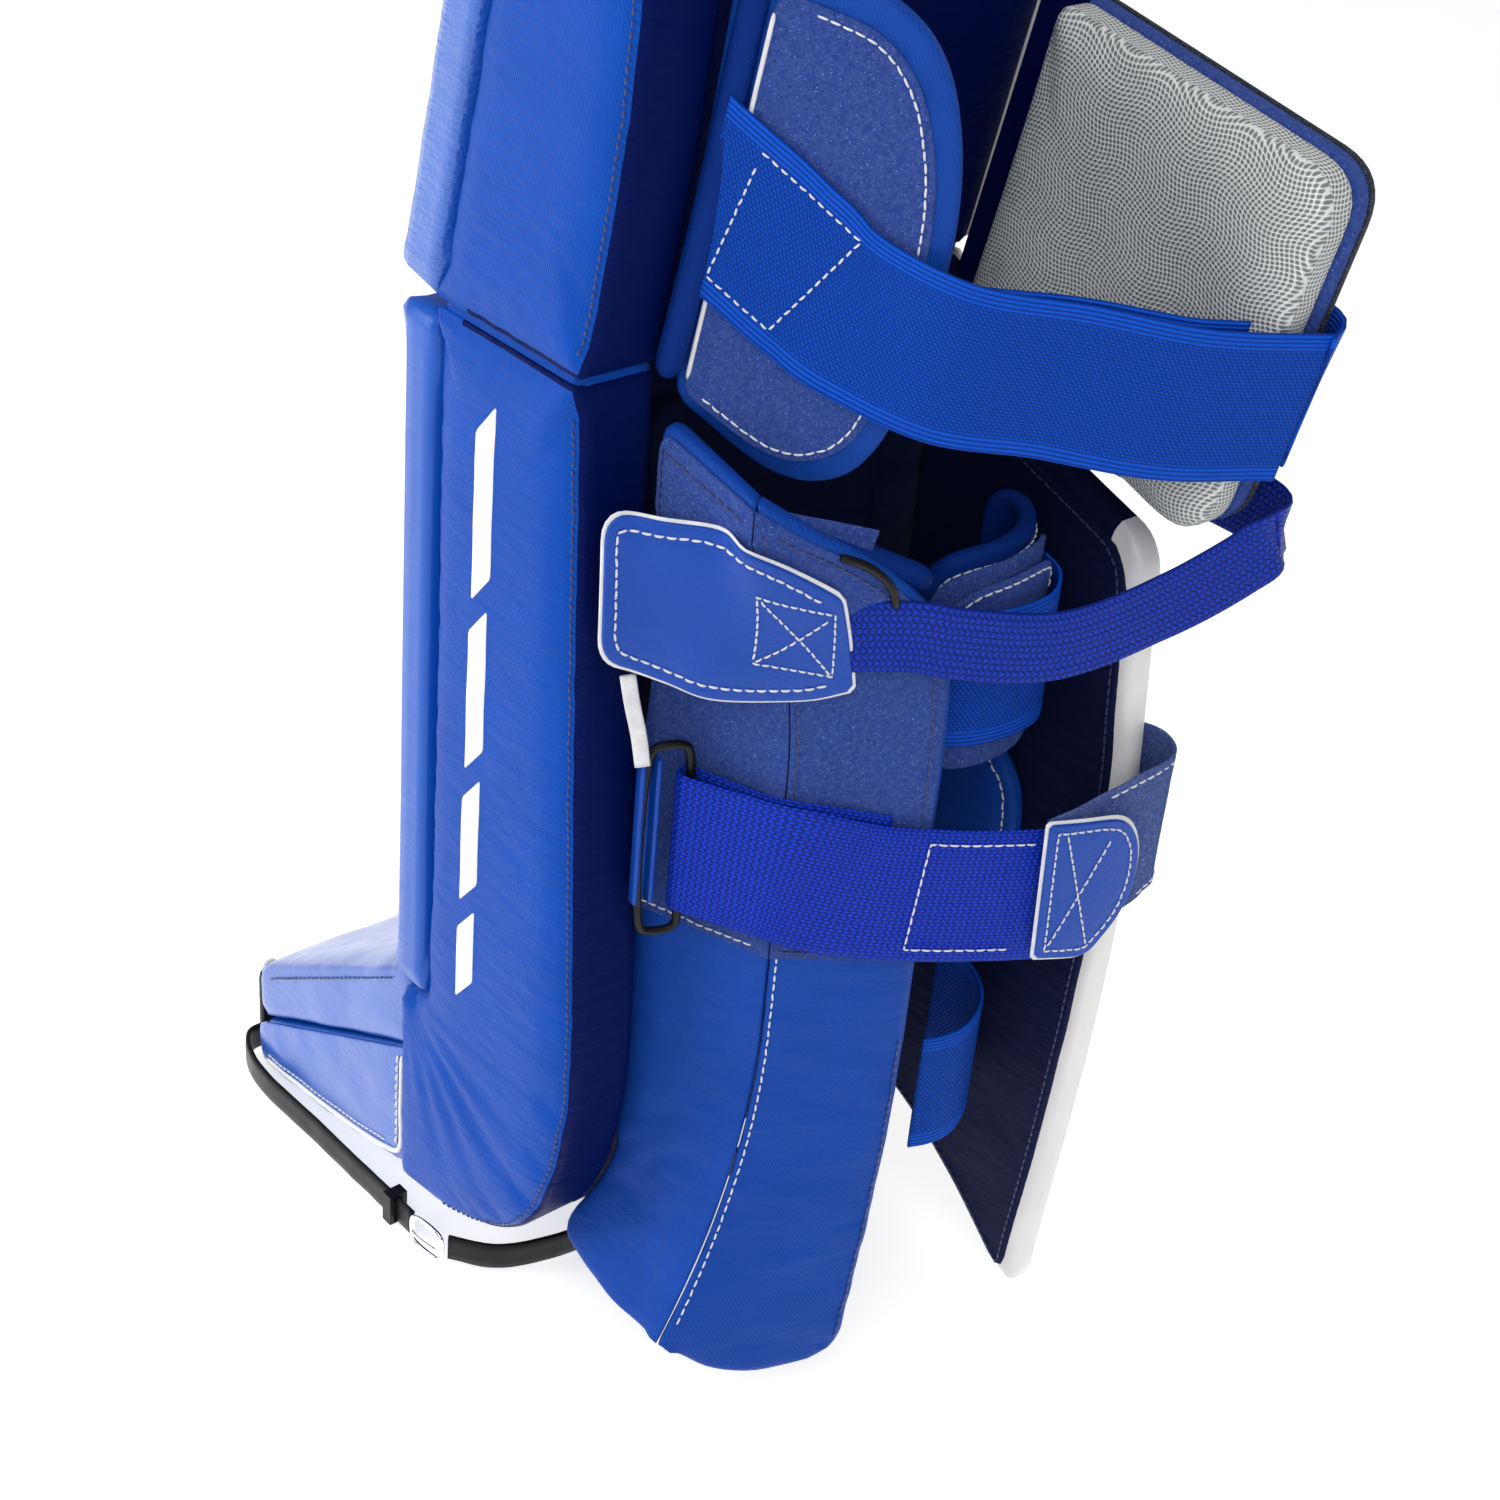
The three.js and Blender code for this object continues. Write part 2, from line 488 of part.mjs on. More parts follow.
// ---------------------------------------------------------------- calf closure straps
const onWing = (share, z, distance) => besideWing(z, distance)(share).toArray();

function buildCalfStraps() {
  // Upper closure: webbing from the medial side to a leather tab on the wing's loop panel.
  const TAB_OUT = 2 * WING_CLEAR + LOOP_THICK; // lies on the loop panel
  const TAB_THICK = 3;
  const lead = (z, x, y, out) =>
    new THREE.Vector3(x + 0.0005 * above(z) ** 2 + 0.6 * out, y + 0.8 * out, z);
  const tabFace = (z, out) => {
    const onFace = besideWing(z, TAB_OUT + out);
    return [lead(z, 112, 88, out), lead(z, 104, 106, out), onFace(0.7), onFace(1), onFace(1.5)];
  };
  const tabSide = outline([
    [84, 452, 30], [124, 450, 30], [166, 470], [166, 514], [132, 546, 30], [84, 552, 30]]);
  add(root, 'upper_strap_tab',
    wingLoft((z) => [...tabFace(z, TAB_THICK), ...tabFace(z, 0).reverse()], tabSide, 400), BLUE_LEATHER);
  const WEBBING_OUT = 7.5;
  add(root, 'upper_strap_webbing', band([
    onWing(1.6, 491, WEBBING_OUT), onWing(1.8, 488, WEBBING_OUT), onWing(2, 485, WEBBING_OUT),
    [-46, 210, 480], [-100, 226, 493], [-137, 240, 513], [-150, 245, 524]], STRAP_THICK, 38), BLUE_WEBBING);
  add(root, 'upper_strap_anchor', band([
    [-154, 246, 526], [-159, 238, 530], [-158, 200, 530], [-155, 130, 530], [-153, 60, 530]],
  STRAP_THICK, 38), BLUE_WEBBING);

  // Lower closure: wide webbing doubled through a ring; it closes on a loop strip on the medial side.
  const RING_BAR = 5;
  const ringBar = new THREE.Vector2(84, 101); // the upright bar that the webbing turns round
  const ringHeading = THREE.MathUtils.degToRad(-22);
  const ringShape = rectangle(-RING_BAR / 2, 300, 22, 414, 4);
  ringShape.holes.push(rectangle(RING_BAR / 2, 300 + RING_BAR, 22 - RING_BAR, 414 - RING_BAR, 2));
  add(root, 'strap_ring',
    panel(ringBar.toArray(), ringHeading, ringShape, -RING_BAR / 2, RING_BAR, 1), BLACK_PLASTIC);
  const around = (angle) => [ringBar.x + 5 * Math.cos(angle), ringBar.y + 5 * Math.sin(angle), 356];
  const turn = [-150, -105, -60, -15, 30].map((degrees) => around(THREE.MathUtils.degToRad(degrees)));
  add(root, 'lower_strap_webbing', band([
    onWing(1.6, 344, 4.6), onWing(1.1, 352, 5.2), onWing(0.9, 353, 5.2), [77, 106, 356], ...turn,
    onWing(0.95, 353, 10.2), onWing(1.1, 351, 10), onWing(1.5, 342, 9), onWing(2, 337, 7),
    [-40, 205, 334], [-72, 216, 330], [-100, 222, 327]], 1.8, 80), BLUE_WEBBING);
  add(root, 'lower_strap_tab', band(
    [[-70, 219, 330], [-100, 225, 327], [-126, 226, 325]], 2.4, 76), BLUE_LEATHER);
  add(root, 'lower_loop_strip', band([
    [-74, 212, 331], [-94, 217, 330], [-118, 220, 330], [-138, 218, 330], [-149, 204, 330],
    [-148, 170, 330], [-146.5, 110, 330]], STRAP_THICK, 80), BLUE_LOOP);
  // Leather that holds the ring: its fold takes the ring's outer bar, its tail is sewn to the roll.
  const farBar = ringBar.clone().add(new THREE.Vector2(Math.cos(ringHeading), Math.sin(ringHeading))
    .multiplyScalar(22 - RING_BAR / 2));
  const hold = (angle) => [farBar.x + 5.2 * Math.cos(angle), farBar.y + 5.2 * Math.sin(angle), 352];
  const fold = [-230, -140, -50, 20].map((degrees) => hold(THREE.MathUtils.degToRad(degrees)));
  add(root, 'ring_anchor', band([...fold.reverse()], 2.4, 70), BLUE_LEATHER);
}

buildShin();
buildThigh();
buildKneeCradle();
buildBoot();
buildToeStrap();
buildCalfWings();
buildInnerCalfWrap();
buildCalfStraps();

const hinge = new THREE.Vector3(0, BACK_Y, KNEE_Z);
thigh.position.copy(hinge).sub(hinge.clone().applyAxisAngle(new THREE.Vector3(1, 0, 0), THIGH_LEAN));
thigh.rotation.x = THIGH_LEAN;
root.position.set(0, -CRADLE_FLOOR_Y, -(CRADLE_LOW_Z + CRADLE_HIGH_Z) / 2);

export default root;
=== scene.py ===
import math
import random

import bpy
import numpy as np
from mathutils import Matrix, Vector, noise
from mathutils.bvhtree import BVHTree
from mathutils.geometry import delaunay_2d_cdt


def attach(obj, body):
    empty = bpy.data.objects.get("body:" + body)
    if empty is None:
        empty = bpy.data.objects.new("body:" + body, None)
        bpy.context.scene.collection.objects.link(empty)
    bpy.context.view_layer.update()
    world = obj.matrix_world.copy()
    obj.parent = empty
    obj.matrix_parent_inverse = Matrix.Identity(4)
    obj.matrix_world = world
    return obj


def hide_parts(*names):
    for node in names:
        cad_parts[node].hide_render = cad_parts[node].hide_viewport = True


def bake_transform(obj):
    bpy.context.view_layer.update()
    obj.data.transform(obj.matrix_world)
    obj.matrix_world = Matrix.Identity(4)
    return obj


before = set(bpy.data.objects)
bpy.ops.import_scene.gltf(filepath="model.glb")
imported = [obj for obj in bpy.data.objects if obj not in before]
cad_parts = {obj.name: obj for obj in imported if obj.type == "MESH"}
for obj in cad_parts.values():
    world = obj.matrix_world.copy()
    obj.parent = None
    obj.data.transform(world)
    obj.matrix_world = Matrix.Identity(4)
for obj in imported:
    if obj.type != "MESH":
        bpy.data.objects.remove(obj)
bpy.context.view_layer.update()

MM = 0.001
ORIGIN = Vector((0, 36, 385))  # the frame's origin: the middle of the shin cradle's floor
KNEE = Vector((0, 30, 600))  # the thigh rise hinges here
THIGH_TILT = math.radians(12)  # how far the thigh rise leans forwards at rest
LEAN = Matrix.Rotation(-THIGH_TILT, 3, "X")
UP = Vector((0, 0, 1))
THIGH_UP = LEAN @ UP
HALF_WIDTH = 140
FRONT, FACE_BACK = 77, 40.4  # how far ahead of the pad's middle the padded faces start and end


def pt(x, y, z):
    """A layout point of the shin, in metres of the frame."""
    return (Vector((x, y, z)) - ORIGIN) * MM


def thigh_pt(x, y, z):
    """The same for the thigh rise, which is laid out upright and then leans forwards."""
    return (KNEE + LEAN @ (Vector((x, y, z)) - KNEE) - ORIGIN) * MM


# ---------------------------------------------------------------- materials
class Look:
    """A material under construction. Patterns are worked out in millimetres of cloth."""

    def __init__(self, name, roughness, metallic=0.0):
        self.material = bpy.data.materials.new(name)
        self.material.use_nodes = True
        self.tree = self.material.node_tree
        self.shader = self.tree.nodes["Principled BSDF"]
        self.set("Roughness", roughness)
        self.set("Metallic", metallic)

    def node(self, kind, **inputs):
        """A node with its inputs set; an underscore stands for a space in an input's name."""
        made = self.tree.nodes.new(kind)
        for key, value in inputs.items():
            self.feed(made.inputs[key.replace("_", " ")], value)
        return made

    def feed(self, socket, value):
        """Links a socket to another, or sets it to a plain value."""
        if isinstance(value, bpy.types.NodeSocket):
            self.tree.links.new(value, socket)
        else:
            socket.default_value = value

    def set(self, name, value):
        self.feed(self.shader.inputs[name], value)

    def math(self, operation, a, b=0.0, c=0.0):
        made = self.tree.nodes.new("ShaderNodeMath")
        made.operation = operation
        for socket, value in zip(made.inputs, (a, b, c)):
            self.feed(socket, value)
        return made.outputs[0]

    def wave(self, distance, pitch, phase=0.0):
        """A sine along a distance in mm, from 0 to 1."""
        turns = self.math("MULTIPLY_ADD", distance, 2 * math.pi / pitch, phase)
        return self.math("MULTIPLY_ADD", self.math("SINE", turns), 0.5, 0.5)

    def cloth(self):
        """Distance along and across the piece's cloth, in mm."""
        uv = self.tree.nodes.new("ShaderNodeUVMap")
        uv.uv_map = "cloth"
        split = self.node("ShaderNodeSeparateXYZ", Vector=uv.outputs[0])
        return split.outputs[0], split.outputs[1]

    def noise(self, size, detail=2.0, stretch=(1, 1, 1), roughness=0.5):
        """Smooth noise from 0 to 1 with features of about size mm."""
        coords = self.tree.nodes.new("ShaderNodeTexCoord")
        scaled = self.node("ShaderNodeMapping", Vector=coords.outputs["Object"], Scale=stretch)
        made = self.node("ShaderNodeTexNoise", Vector=scaled.outputs[0], Scale=1 / (size * MM),
                         Detail=detail, Roughness=roughness)
        return made.outputs["Fac"]

    def cells(self, size):
        """Distance from the edges of pebbles of about size mm."""
        coords = self.tree.nodes.new("ShaderNodeTexCoord")
        made = self.node("ShaderNodeTexVoronoi", Vector=coords.outputs["Object"], Scale=1 / (size * MM))
        made.feature = "SMOOTH_F1"
        return made.outputs["Distance"]

    def ramp(self, value, low, high):
        """A smooth step from 0 at low to 1 at high."""
        made = self.node("ShaderNodeMapRange", Value=value, From_Min=low, From_Max=high)
        made.interpolation_type = "SMOOTHSTEP"
        return made.outputs[0]

    def mix(self, share, first, second):
        """The first colour where share is 0, the second where it is 1."""
        made = self.tree.nodes.new("ShaderNodeMix")
        made.data_type = "RGBA"
        self.feed(made.inputs["Factor"], share)
        for socket, value in ((made.inputs[6], first), (made.inputs[7], second)):
            self.feed(socket, value if isinstance(value, bpy.types.NodeSocket) else (*value, 1))
        return made.outputs[2]

    def bump(self, height, depth, under=None):
        """Adds relief that is depth mm high."""
        made = self.node("ShaderNodeBump", Height=height, Distance=depth * MM)
        if under:
            self.feed(made.inputs["Normal"], under)
        self.set("Normal", made.outputs[0])
        return made.outputs[0]


def scaled(colour, factor):
    """A lighter or darker colour."""
    return tuple(channel * factor for channel in colour)


def nylon(name, colour, roughness=0.46, pitch=2.0, shine=0.10):
    """Coated pack cloth: a fine twill with a soft sheen."""
    look = Look(name, roughness)
    u, v = look.cloth()
    look.set("Specular IOR Level", shine)
    diagonal = look.wave(look.math("MULTIPLY_ADD", v, 0.62, u), pitch)
    thread = look.wave(look.math("MULTIPLY_ADD", v, -1.4, u), pitch * 0.8)
    weave = look.math("MULTIPLY_ADD", thread, 0.35, look.math("MULTIPLY", diagonal, 0.65))
    mottled = look.mix(look.noise(45, 3), scaled(colour, 0.86), scaled(colour, 1.12))
    look.set("Base Color", look.mix(weave, look.mix(0.28, mottled, (0, 0, 0.01)), mottled))
    creases = look.bump(look.noise(26, 4, (1, 1, 3.5)), 1.4)
    look.bump(weave, 0.16, creases)
    return look.material


def leather(name, colour, roughness=0.38, pebble=1.7, grain=0.14, wrinkle=0.5, streak=(1, 1, 4),
            shine=0.55):
    """Coated leather: small pebbles over soft wrinkles, polished where it is stretched."""
    look = Look(name, roughness)
    tone = look.noise(60, 3)
    look.set("Base Color", look.mix(tone, scaled(colour, 0.88), scaled(colour, 1.1)))
    look.set("Roughness", look.math("MULTIPLY_ADD", look.noise(14, 3), 0.2, roughness - 0.1))
    look.set("Specular IOR Level", shine)
    look.set("Coat Weight", 0.2 * shine)
    look.set("Coat Roughness", 0.3)
    wrinkles = look.bump(look.noise(16, 5, streak), wrinkle)
    look.bump(look.cells(pebble), grain, wrinkles)
    return look.material


def loop_fabric(name, colour, light):
    """Napped loop cloth: a fuzz of bright and dark curls."""
    look = Look(name, 0.96)
    curls = look.noise(1.1, 4, roughness=0.75)
    patches = look.mix(look.noise(22, 3), scaled(colour, 0.8), scaled(colour, 1.2))
    napped = look.mix(look.ramp(look.noise(2.6, 4, roughness=0.85), 0.3, 0.8), patches, scaled(light, 0.62))
    look.set("Base Color", look.mix(look.ramp(look.noise(0.9, 1), 0.66, 0.76), napped, scaled(light, 1.5)))
    look.set("Sheen Weight", 0.2)
    look.set("Sheen Roughness", 0.5)
    look.set("Sheen Tint", (0.3, 0.45, 1.0, 1))
    look.set("Specular IOR Level", 0.05)
    look.bump(curls, 1.3)
    return look.material


def elastic(name, colour, width):
    """Ribbed woven elastic: diagonal knit between four straight ribs at each edge."""
    look = Look(name, 0.66)
    u, v = look.cloth()
    across = look.math("ABSOLUTE", v)
    edge = look.ramp(across, width / 2 - 9.5, width / 2 - 8)
    knit_line = look.wave(look.math("MULTIPLY_ADD", v, 0.75, u), 2.5)
    knit_cross = look.wave(v, 1.7)
    knit = look.math("MULTIPLY", knit_line, knit_cross)
    ribs = look.wave(v, 2.3)
    height = look.math("ADD", look.math("MULTIPLY", knit, look.math("SUBTRACT", 1.0, edge)),
                       look.math("MULTIPLY", ribs, edge))
    tone = look.mix(look.noise(35), scaled(colour, 0.9), scaled(colour, 1.08))
    dark = scaled(colour, 0.42)
    look.set("Base Color", look.mix(look.ramp(height, 0.05, 0.6), dark, tone))
    look.set("Specular IOR Level", 0.1)
    look.bump(height, 0.5)
    return look.material


def webbing(name, colour, column, pick, chevron):
    """Woven webbing: columns of slanted picks that turn into chevrons, or a plain basket weave."""
    look = Look(name, 0.5)
    u, v = look.cloth()
    fold = look.math("PINGPONG", v, column)
    slant = look.math("MULTIPLY_ADD", fold, chevron, u)
    picks = look.wave(slant, pick)
    columns = look.wave(v, column, math.pi / 2)
    height = look.math("MULTIPLY", look.math("POWER", picks, 0.7), look.math("POWER", columns, 0.5))
    look.set("Base Color", look.mix(look.ramp(height, 0.1, 0.8), scaled(colour, 0.32), colour))
    look.set("Specular IOR Level", 0.12)
    look.bump(height, 0.7)
    return look.material


def spacer_mesh(name, colour, hole_colour):
    """Knitted spacer mesh: wavy rows of small oval holes."""
    look = Look(name, 0.8)
    u, v = look.cloth()
    sway = look.math("SINE", look.math("MULTIPLY", v, 2 * math.pi / 36))
    drift = look.math("SINE", look.math("MULTIPLY_ADD", u, 2 * math.pi / 52, 0.8))
    along = look.math("MULTIPLY_ADD", sway, 2.6, u)
    across = look.math("MULTIPLY_ADD", drift, 3.2, v)

    def centred(distance, pitch):
        """Where a distance lies in its cell of the knit, from -1 to 1."""
        turns = look.math("FRACT", look.math("DIVIDE", distance, pitch))
        return look.math("MULTIPLY", look.math("SUBTRACT", turns, 0.5), 2)

    row, column = centred(along, 2.5), centred(across, 2.3)
    distance = look.math("ADD", look.math("POWER", look.math("ABSOLUTE", row), 2.4),
                         look.math("POWER", look.math("ABSOLUTE", column), 2.4))
    rim = look.ramp(distance, 0.05, 0.75)
    tone = look.mix(look.noise(30), scaled(colour, 0.92), colour)
    look.set("Base Color", look.mix(rim, hole_colour, tone))
    look.set("Specular IOR Level", 0.25)
    look.set("Sheen Weight", 0.15)
    look.bump(rim, 0.7)
    return look.material


def thread(name, colour):
    """Matt sewing thread."""
    look = Look(name, 0.55)
    look.set("Base Color", look.mix(look.noise(0.8, 2), scaled(colour, 0.78), colour))
    look.set("Sheen Weight", 0.2)
    look.bump(look.noise(0.5, 1), 0.15)
    return look.material


def moulded(name, colour, roughness, shine=0.5):
    """Moulded plastic, also used for the pale core that shows at cut edges."""
    look = Look(name, roughness)
    look.set("Specular IOR Level", shine)
    look.set("Base Color", look.mix(look.noise(8, 2), scaled(colour, 0.8), scaled(colour, 1.3)))
    look.set("Roughness", look.math("MULTIPLY_ADD", look.noise(3, 3), 0.2, roughness - 0.1))
    look.bump(look.noise(0.7, 2), 0.05)
    return look.material


def plated_steel(name):
    """Bright plating with a little wear."""
    look = Look(name, 0.16, 1.0)
    look.set("Base Color", look.mix(look.noise(6, 2), (0.62, 0.61, 0.59), (0.78, 0.77, 0.75)))
    look.set("Roughness", look.math("MULTIPLY_ADD", look.noise(2, 4), 0.22, 0.06))
    look.bump(look.noise(1.2, 3), 0.04)
    return look.material


def fuzz(name, colour, light):
    """Hook tape: a dark, sparkling stubble."""
    look = Look(name, 0.85)
    stubble = look.noise(0.9, 2, roughness=0.9)
    look.set("Base Color", look.mix(look.ramp(stubble, 0.5, 0.68), colour, light))
    look.bump(stubble, 0.8)
    return look.material


ROYAL = (0.004, 0.085, 0.45)
BLUE_NYLON = nylon("blue_nylon", (0.003, 0.074, 0.455), shine=0.08)
# Dark navy nylon: the own colour of the cores, the thigh's back cover and the hinge strip. On the roll's
# edges it stands for a darker cloth with painted shade on top.
NAVY_AND_SHADE_NYLON = nylon("navy_and_shade_nylon", (0.001, 0.007, 0.085), 0.5, shine=0.04)
WING_NYLON = nylon("wing_nylon", (0.008, 0.070, 0.42), 0.5, 1.7)
# Shaded nylon: a darker copy of the wing nylon, painted shade for folds and sheets that sit in shade.
SHADED_NYLON = nylon("shaded_nylon", (0.003, 0.030, 0.22), 0.5, 1.7, shine=0.05)
BLUE_LEATHER = leather("blue_leather", ROYAL, 0.33, 1.6, 0.06, 0.35)
SHIN_LEATHER = leather("shin_leather", ROYAL, 0.36, 1.6, 0.06, 0.35, shine=0.26)
GRAINED_LEATHER = leather("grained_blue_leather", (0.012, 0.105, 0.48), 0.36, 1.9, 0.3, 1.6, (1, 1, 5))
TAB_LEATHER = leather("tab_leather", (0.003, 0.058, 0.38), 0.45, 1.5, 0.25, 0.5, (1, 1, 1), 0.22)
WHITE_LEATHER = leather("white_leather", (0.86, 0.85, 0.83), 0.4, 1.6, 0.07, 0.5, (1, 1, 1))
BLACK_LEATHER = leather("black_leather", (0.005, 0.005, 0.007), 0.5, 1.3, 0.12, 0.4, (1, 1, 1), 0.15)
LINING = nylon("navy_lining", (0.004, 0.008, 0.045), 0.7, 1.5)
BLUE_LOOP = loop_fabric("blue_loop", (0.018, 0.052, 0.31), (0.13, 0.22, 0.64))
PALE_LOOP = loop_fabric("pale_loop", (0.045, 0.085, 0.34), (0.27, 0.36, 0.70))
ELASTIC = elastic("knee_elastic", (0.004, 0.092, 0.66), 82)
WRAP_ELASTIC = elastic("wrap_elastic", (0.004, 0.085, 0.64), 76)
ANKLE_ELASTIC = elastic("ankle_elastic", (0.004, 0.090, 0.62), 76)
CHEVRON = webbing("chevron_webbing", (0.006, 0.045, 0.56), 3.4, 3.2, 1.0)
BASKET = webbing("basket_webbing", (0.006, 0.052, 0.72), 2.0, 3.4, 0.7)
GREY_MESH = spacer_mesh("grey_mesh", (0.78, 0.80, 0.79), (0.19, 0.205, 0.22))
WHITE_THREAD = thread("white_thread", (0.82, 0.82, 0.86))
DARK_THREAD = thread("dark_thread", (0.006, 0.018, 0.12))
BLACK_PLASTIC = moulded("black_plastic", (0.005, 0.005, 0.007), 0.4, 0.14)
STEEL = plated_steel("plated_steel")
HOOK = fuzz("black_hook", (0.010, 0.012, 0.022), (0.11, 0.13, 0.2))
CUT_EDGE = moulded("white_cut_edge", (0.72, 0.72, 0.74), 0.6)

SLOTS = {
    "leather_blue": (BLUE_LEATHER, SHIN_LEATHER, GRAINED_LEATHER, TAB_LEATHER),
    "nylon_blue": (BLUE_NYLON, NAVY_AND_SHADE_NYLON, WING_NYLON, SHADED_NYLON),
    "leather_white": (WHITE_LEATHER, CUT_EDGE, WHITE_THREAD),
    "leather_black": (BLACK_LEATHER,),
    "lining_navy": (LINING, DARK_THREAD, HOOK),
    "loop_blue": (BLUE_LOOP, PALE_LOOP),
    "elastic_blue": (ELASTIC, WRAP_ELASTIC, ANKLE_ELASTIC),
    "webbing_blue": (CHEVRON, BASKET),
    "mesh_grey": (GREY_MESH,),
    "ring_plastic": (BLACK_PLASTIC,),
    "buckle_steel": (STEEL,),
}


# ---------------------------------------------------------------- outlines and paths
def rounded(corners, step=5.0):
    """Closed outline through (s, t, rounding) corners, counter-clockwise, with points about step apart."""
    points = []
    count = len(corners)
    for i, corner in enumerate(corners):
        here = Vector(corner[:2])
        radius = corner[2] if len(corner) > 2 else 0
        ends = []
        for other in (corners[i - 1], corners[(i + 1) % count]):
            edge = Vector(other[:2]) - here
            ends.append(here + edge * min(radius / edge.length, 0.48))
        pieces = max(1, round((ends[0] - ends[1]).length / step)) if radius else 0
        for k in range(pieces + 1):
            share = k / pieces if pieces else 0
            points.append(ends[0] * (1 - share) ** 2 + here * 2 * share * (1 - share) + ends[1] * share ** 2)
    sampled = []
    for a, b in zip(points, points[1:] + points[:1]):
        steps = max(1, round((b - a).length / step))
        sampled += [a.lerp(b, k / steps) for k in range(steps)]
    ring = np.array([[p.x, p.y] for p in sampled])
    x, y = ring.T
    area = np.sum(x * np.roll(y, -1) - np.roll(x, -1) * y)
    return ring if area > 0 else ring[::-1].copy()


def edge_distance(points, ring):
    """Distance of each point from the outline."""
    start = ring
    edge = np.roll(ring, -1, 0) - ring
    away = points[:, None] - start[None]
    share = np.clip((away * edge).sum(-1) / (edge * edge).sum(-1), 0, 1)
    return np.linalg.norm(away - share[..., None] * edge, axis=-1).min(1)


def inwards(ring):
    """Unit vectors that point into an outline from each of its points."""
    tangent = np.roll(ring, -1, 0) - np.roll(ring, 1, 0)
    inward = np.stack([-tangent[:, 1], tangent[:, 0]], 1)
    return inward / np.linalg.norm(inward, axis=1)[:, None]


def is_inside(points, ring):
    """Which points lie inside an outline."""
    x, y = points[:, :1], points[:, 1:]
    x0, y0 = ring.T
    x1, y1 = np.roll(ring, -1, 0).T
    crosses = ((y0 > y) != (y1 > y)) & (x < (x1 - x0) * (y - y0) / (y1 - y0 + 1e-12) + x0)
    return crosses.sum(1) % 2 == 1


def path_length(line):
    """The length of a run of points."""
    return sum((b - a).length for a, b in zip(line, line[1:]))


def smooth_path(points, step=3.0):
    """Points every step mm along a centripetal Catmull-Rom curve through the given points."""
    given = [Vector(p) for p in points]
    line = [given[0] * 2 - given[1]] + given + [given[-1] * 2 - given[-2]]
    dense = []
    for a, b, c, d in zip(line, line[1:], line[2:], line[3:]):
        knots = [0.0]
        for p, q in ((a, b), (b, c), (c, d)):
            knots.append(knots[-1] + max((q - p).length, 1e-6) ** 0.5)
        for k in range(16):
            t = knots[1] + (knots[2] - knots[1]) * k / 16
            row = [a, b, c, d]
            for order in (1, 2):
                row = [row[i].lerp(row[i + 1], (t - knots[i]) / (knots[i + order] - knots[i]))
                       for i in range(len(row) - 1)]
            dense.append(row[0].lerp(row[1], (t - knots[1]) / (knots[2] - knots[1])))
    dense.append(given[-1])
    lengths = np.concatenate([[0], np.cumsum([(q - p).length for p, q in zip(dense, dense[1:])])])
    count = max(2, round(lengths[-1] / step) + 1)
    places = np.linspace(0, lengths[-1], count)
    table = np.array(dense)
    return [Vector([np.interp(s, lengths, table[:, axis]) for axis in range(len(given[0]))]) for s in places]


# ---------------------------------------------------------------- meshes
def add_mesh(name, vertices, faces, material, uvs=None):
    """A smooth object from vertices in metres of the frame, with its faces turned outwards."""
    mesh = bpy.data.meshes.new(name)
    mesh.from_pydata([tuple(v) for v in vertices], [], faces)
    if uvs:
        layer = mesh.uv_layers.new(name="cloth")
        layer.data.foreach_set("uv", np.array([c for face in uvs for uv in face for c in uv], np.float32))
    mesh.validate()
    mesh.update()
    made = bpy.data.objects.new(name, mesh)
    bpy.context.scene.collection.objects.link(made)
    bpy.context.view_layer.objects.active = made
    bpy.ops.object.select_all(action="DESELECT")
    made.select_set(True)
    bpy.ops.object.mode_set(mode="EDIT")
    bpy.ops.mesh.select_all(action="SELECT")
    bpy.ops.mesh.normals_make_consistent(inside=False)
    bpy.ops.object.mode_set(mode="OBJECT")
    mesh.polygons.foreach_set("use_smooth", [True] * len(mesh.polygons))
    mesh.materials.append(material)
    return made


def finish_piece(made, body, *nodes):
    """Puts a finished piece on its body, in place of CAD nodes."""
    look = made.data.materials[0]
    next(slot for slot, looks in SLOTS.items() if look in looks)
    if nodes:
        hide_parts(*nodes)
    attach(made, body)


def edge_drop(distance, radius):
    """How far a rounded edge lies under the flat of the panel."""
    share = np.clip(distance / np.maximum(radius, 1e-6), 0, 1)
    return radius * (1 - np.sqrt(np.clip(1 - (1 - share) ** 2, 0, 1)))


RAY_START = 40  # how far outside a panel its surface is looked for from
UNDERSIDE = 500  # how far the cloth of a panel's underside is from that of its top
EDGE_TURNS = (24, 42, 62, 90)  # where a rounded edge has its rings of points, in degrees
CLOTH_FRAMES = 20  # how long each padded cover is left to swell


